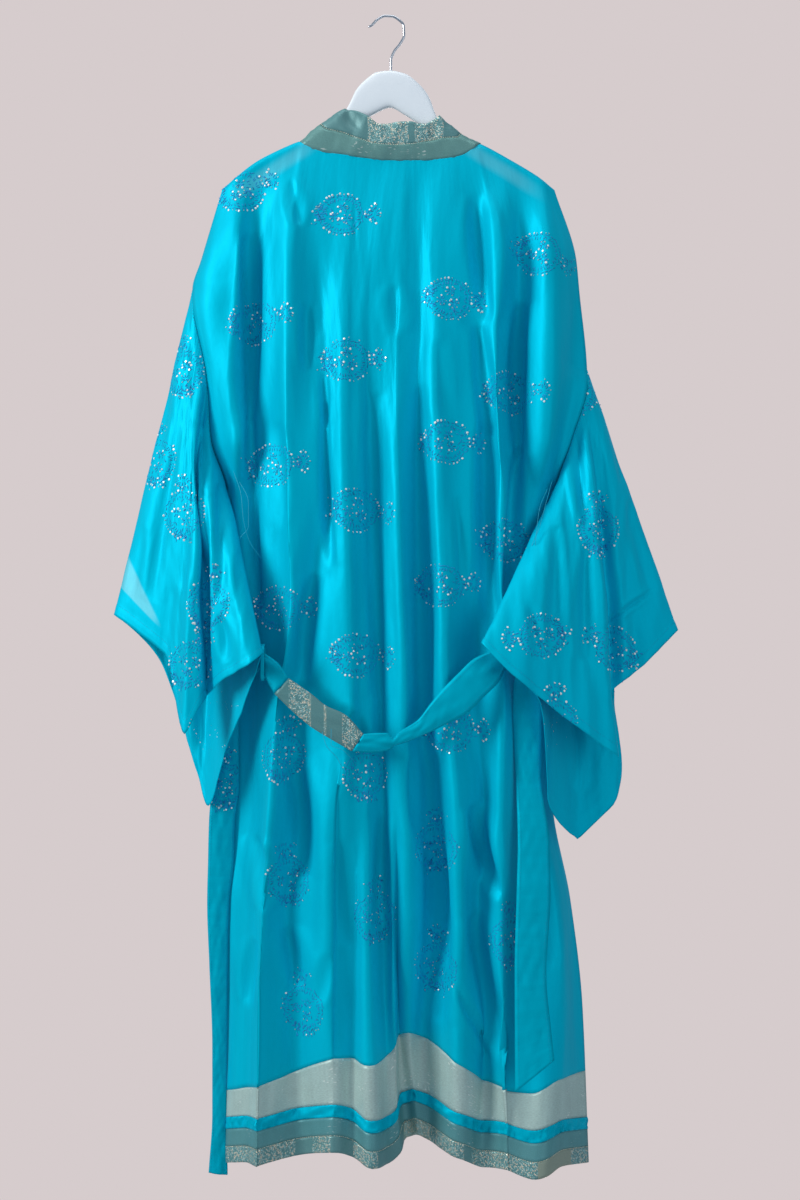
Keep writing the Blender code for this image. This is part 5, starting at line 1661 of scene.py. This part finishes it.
class ROBE_OT_stage(bpy.types.Operator):
    """Pale floor, soft studio light and the camera"""
    bl_idname = "robe.stage"
    bl_label = "Stage"

    def light(self, name, place, size, power, colour):
        data = bpy.data.lights.new(name, "AREA")
        data.shape = "RECTANGLE"
        data.size, data.size_y = size
        data.energy, data.color = power, colour
        ob = bpy.data.objects.new(name, data)
        ob.location = place
        ob.rotation_euler = (Vector(LIGHTS_AIM) - Vector(place)).to_track_quat("-Z", "Y").to_euler()
        bpy.context.scene.collection.objects.link(ob)

    def execute(self, context):
        scene, look = context.scene, context.scene.robe_stage
        bm = bmesh.new()
        bmesh.ops.create_circle(bm, cap_ends=True, segments=96, radius=FLOOR_RADIUS,
                                matrix=Matrix.Translation((0.0, 0.0, FLOOR)))
        f = Finish("pale_floor", Specular_IOR_Level=0.2)
        grain = f.noise(f.place(3.0), 3.0)
        f.set("Base Color", f.mix(rgb(0.62, 0.58, 0.58), rgb(0.68, 0.63, 0.63), grain))
        f.set("Roughness", 0.7 + (grain - 0.5) * 0.1)
        floor = add_object("floor", bm, f.material, smooth=False)

        for name, place, size, power, colour in LIGHTS:
            self.light(name, place, size, power or getattr(look, name), colour)

        world = bpy.data.worlds.new("studio")
        world.use_nodes = True
        world.node_tree.nodes.clear()
        studio = Nodes(world.node_tree)
        backdrop = studio.node("ShaderNodeBackground", None, {"Color": rgb(*look.backdrop)})
        ambient = studio.node("ShaderNodeBackground", None, {"Color": AMBIENT_COLOUR, "Strength": AMBIENT})
        seen = studio.node("ShaderNodeLightPath", output="Is Camera Ray")
        both = studio.node("ShaderNodeMixShader", None, {0: seen, 1: ambient, 2: backdrop})
        studio.node("ShaderNodeOutputWorld", None, {"Surface": both})
        scene.world = world
        scene.view_settings.view_transform = "Standard"

        camera = bpy.data.cameras.new("camera")
        camera.sensor_width = SENSOR
        camera.lens = SENSOR * -CAMERA_PLACE[1] / SHOWN_HEIGHT
        ob = bpy.data.objects.new("camera", camera)
        ob.location = CAMERA_PLACE
        ob.rotation_euler = (math.pi / 2, 0.0, 0.0)
        scene.collection.objects.link(ob)
        scene.camera = ob
        return {"FINISHED"}


class ROBE_PT_panel(bpy.types.Panel):
    """The steps that build the robe"""
    bl_idname = "ROBE_PT_panel"
    bl_label = "Hanging Silk Robe"
    bl_space_type = "VIEW_3D"
    bl_region_type = "UI"
    bl_category = "Robe"

    def draw(self, context):
        for settings in (context.scene.robe_cloth, context.scene.robe_sewing, context.scene.robe_stage):
            for name in settings.bl_rna.properties.keys():
                if name not in ("rna_type", "name"):
                    self.layout.prop(settings, name)
        for step in STEPS:
            self.layout.operator(step.bl_idname)


GROUPS = (("robe_cloth", RobeCloth), ("robe_sewing", RobeSewing), ("robe_stage", RobeStage))
STEPS = (ROBE_OT_hanger, ROBE_OT_back, ROBE_OT_fronts, ROBE_OT_sleeves, ROBE_OT_neckband, ROBE_OT_belt,
         ROBE_OT_embroidery, ROBE_OT_stitching, ROBE_OT_stage)


def register():
    for _, group in GROUPS:
        bpy.utils.register_class(group)
    for name, group in GROUPS:
        setattr(bpy.types.Scene, name, PointerProperty(type=group))
    for kind in (*STEPS, ROBE_PT_panel):
        bpy.utils.register_class(kind)


def unregister():
    for kind in reversed((*STEPS, ROBE_PT_panel)):
        bpy.utils.unregister_class(kind)
    for name, group in reversed(GROUPS):
        delattr(bpy.types.Scene, name)
        bpy.utils.unregister_class(group)


def main():
    register()
    for step in STEPS:
        group, name = step.bl_idname.split(".")
        getattr(getattr(bpy.ops, group), name)()


if __name__ == "__main__":
    main()
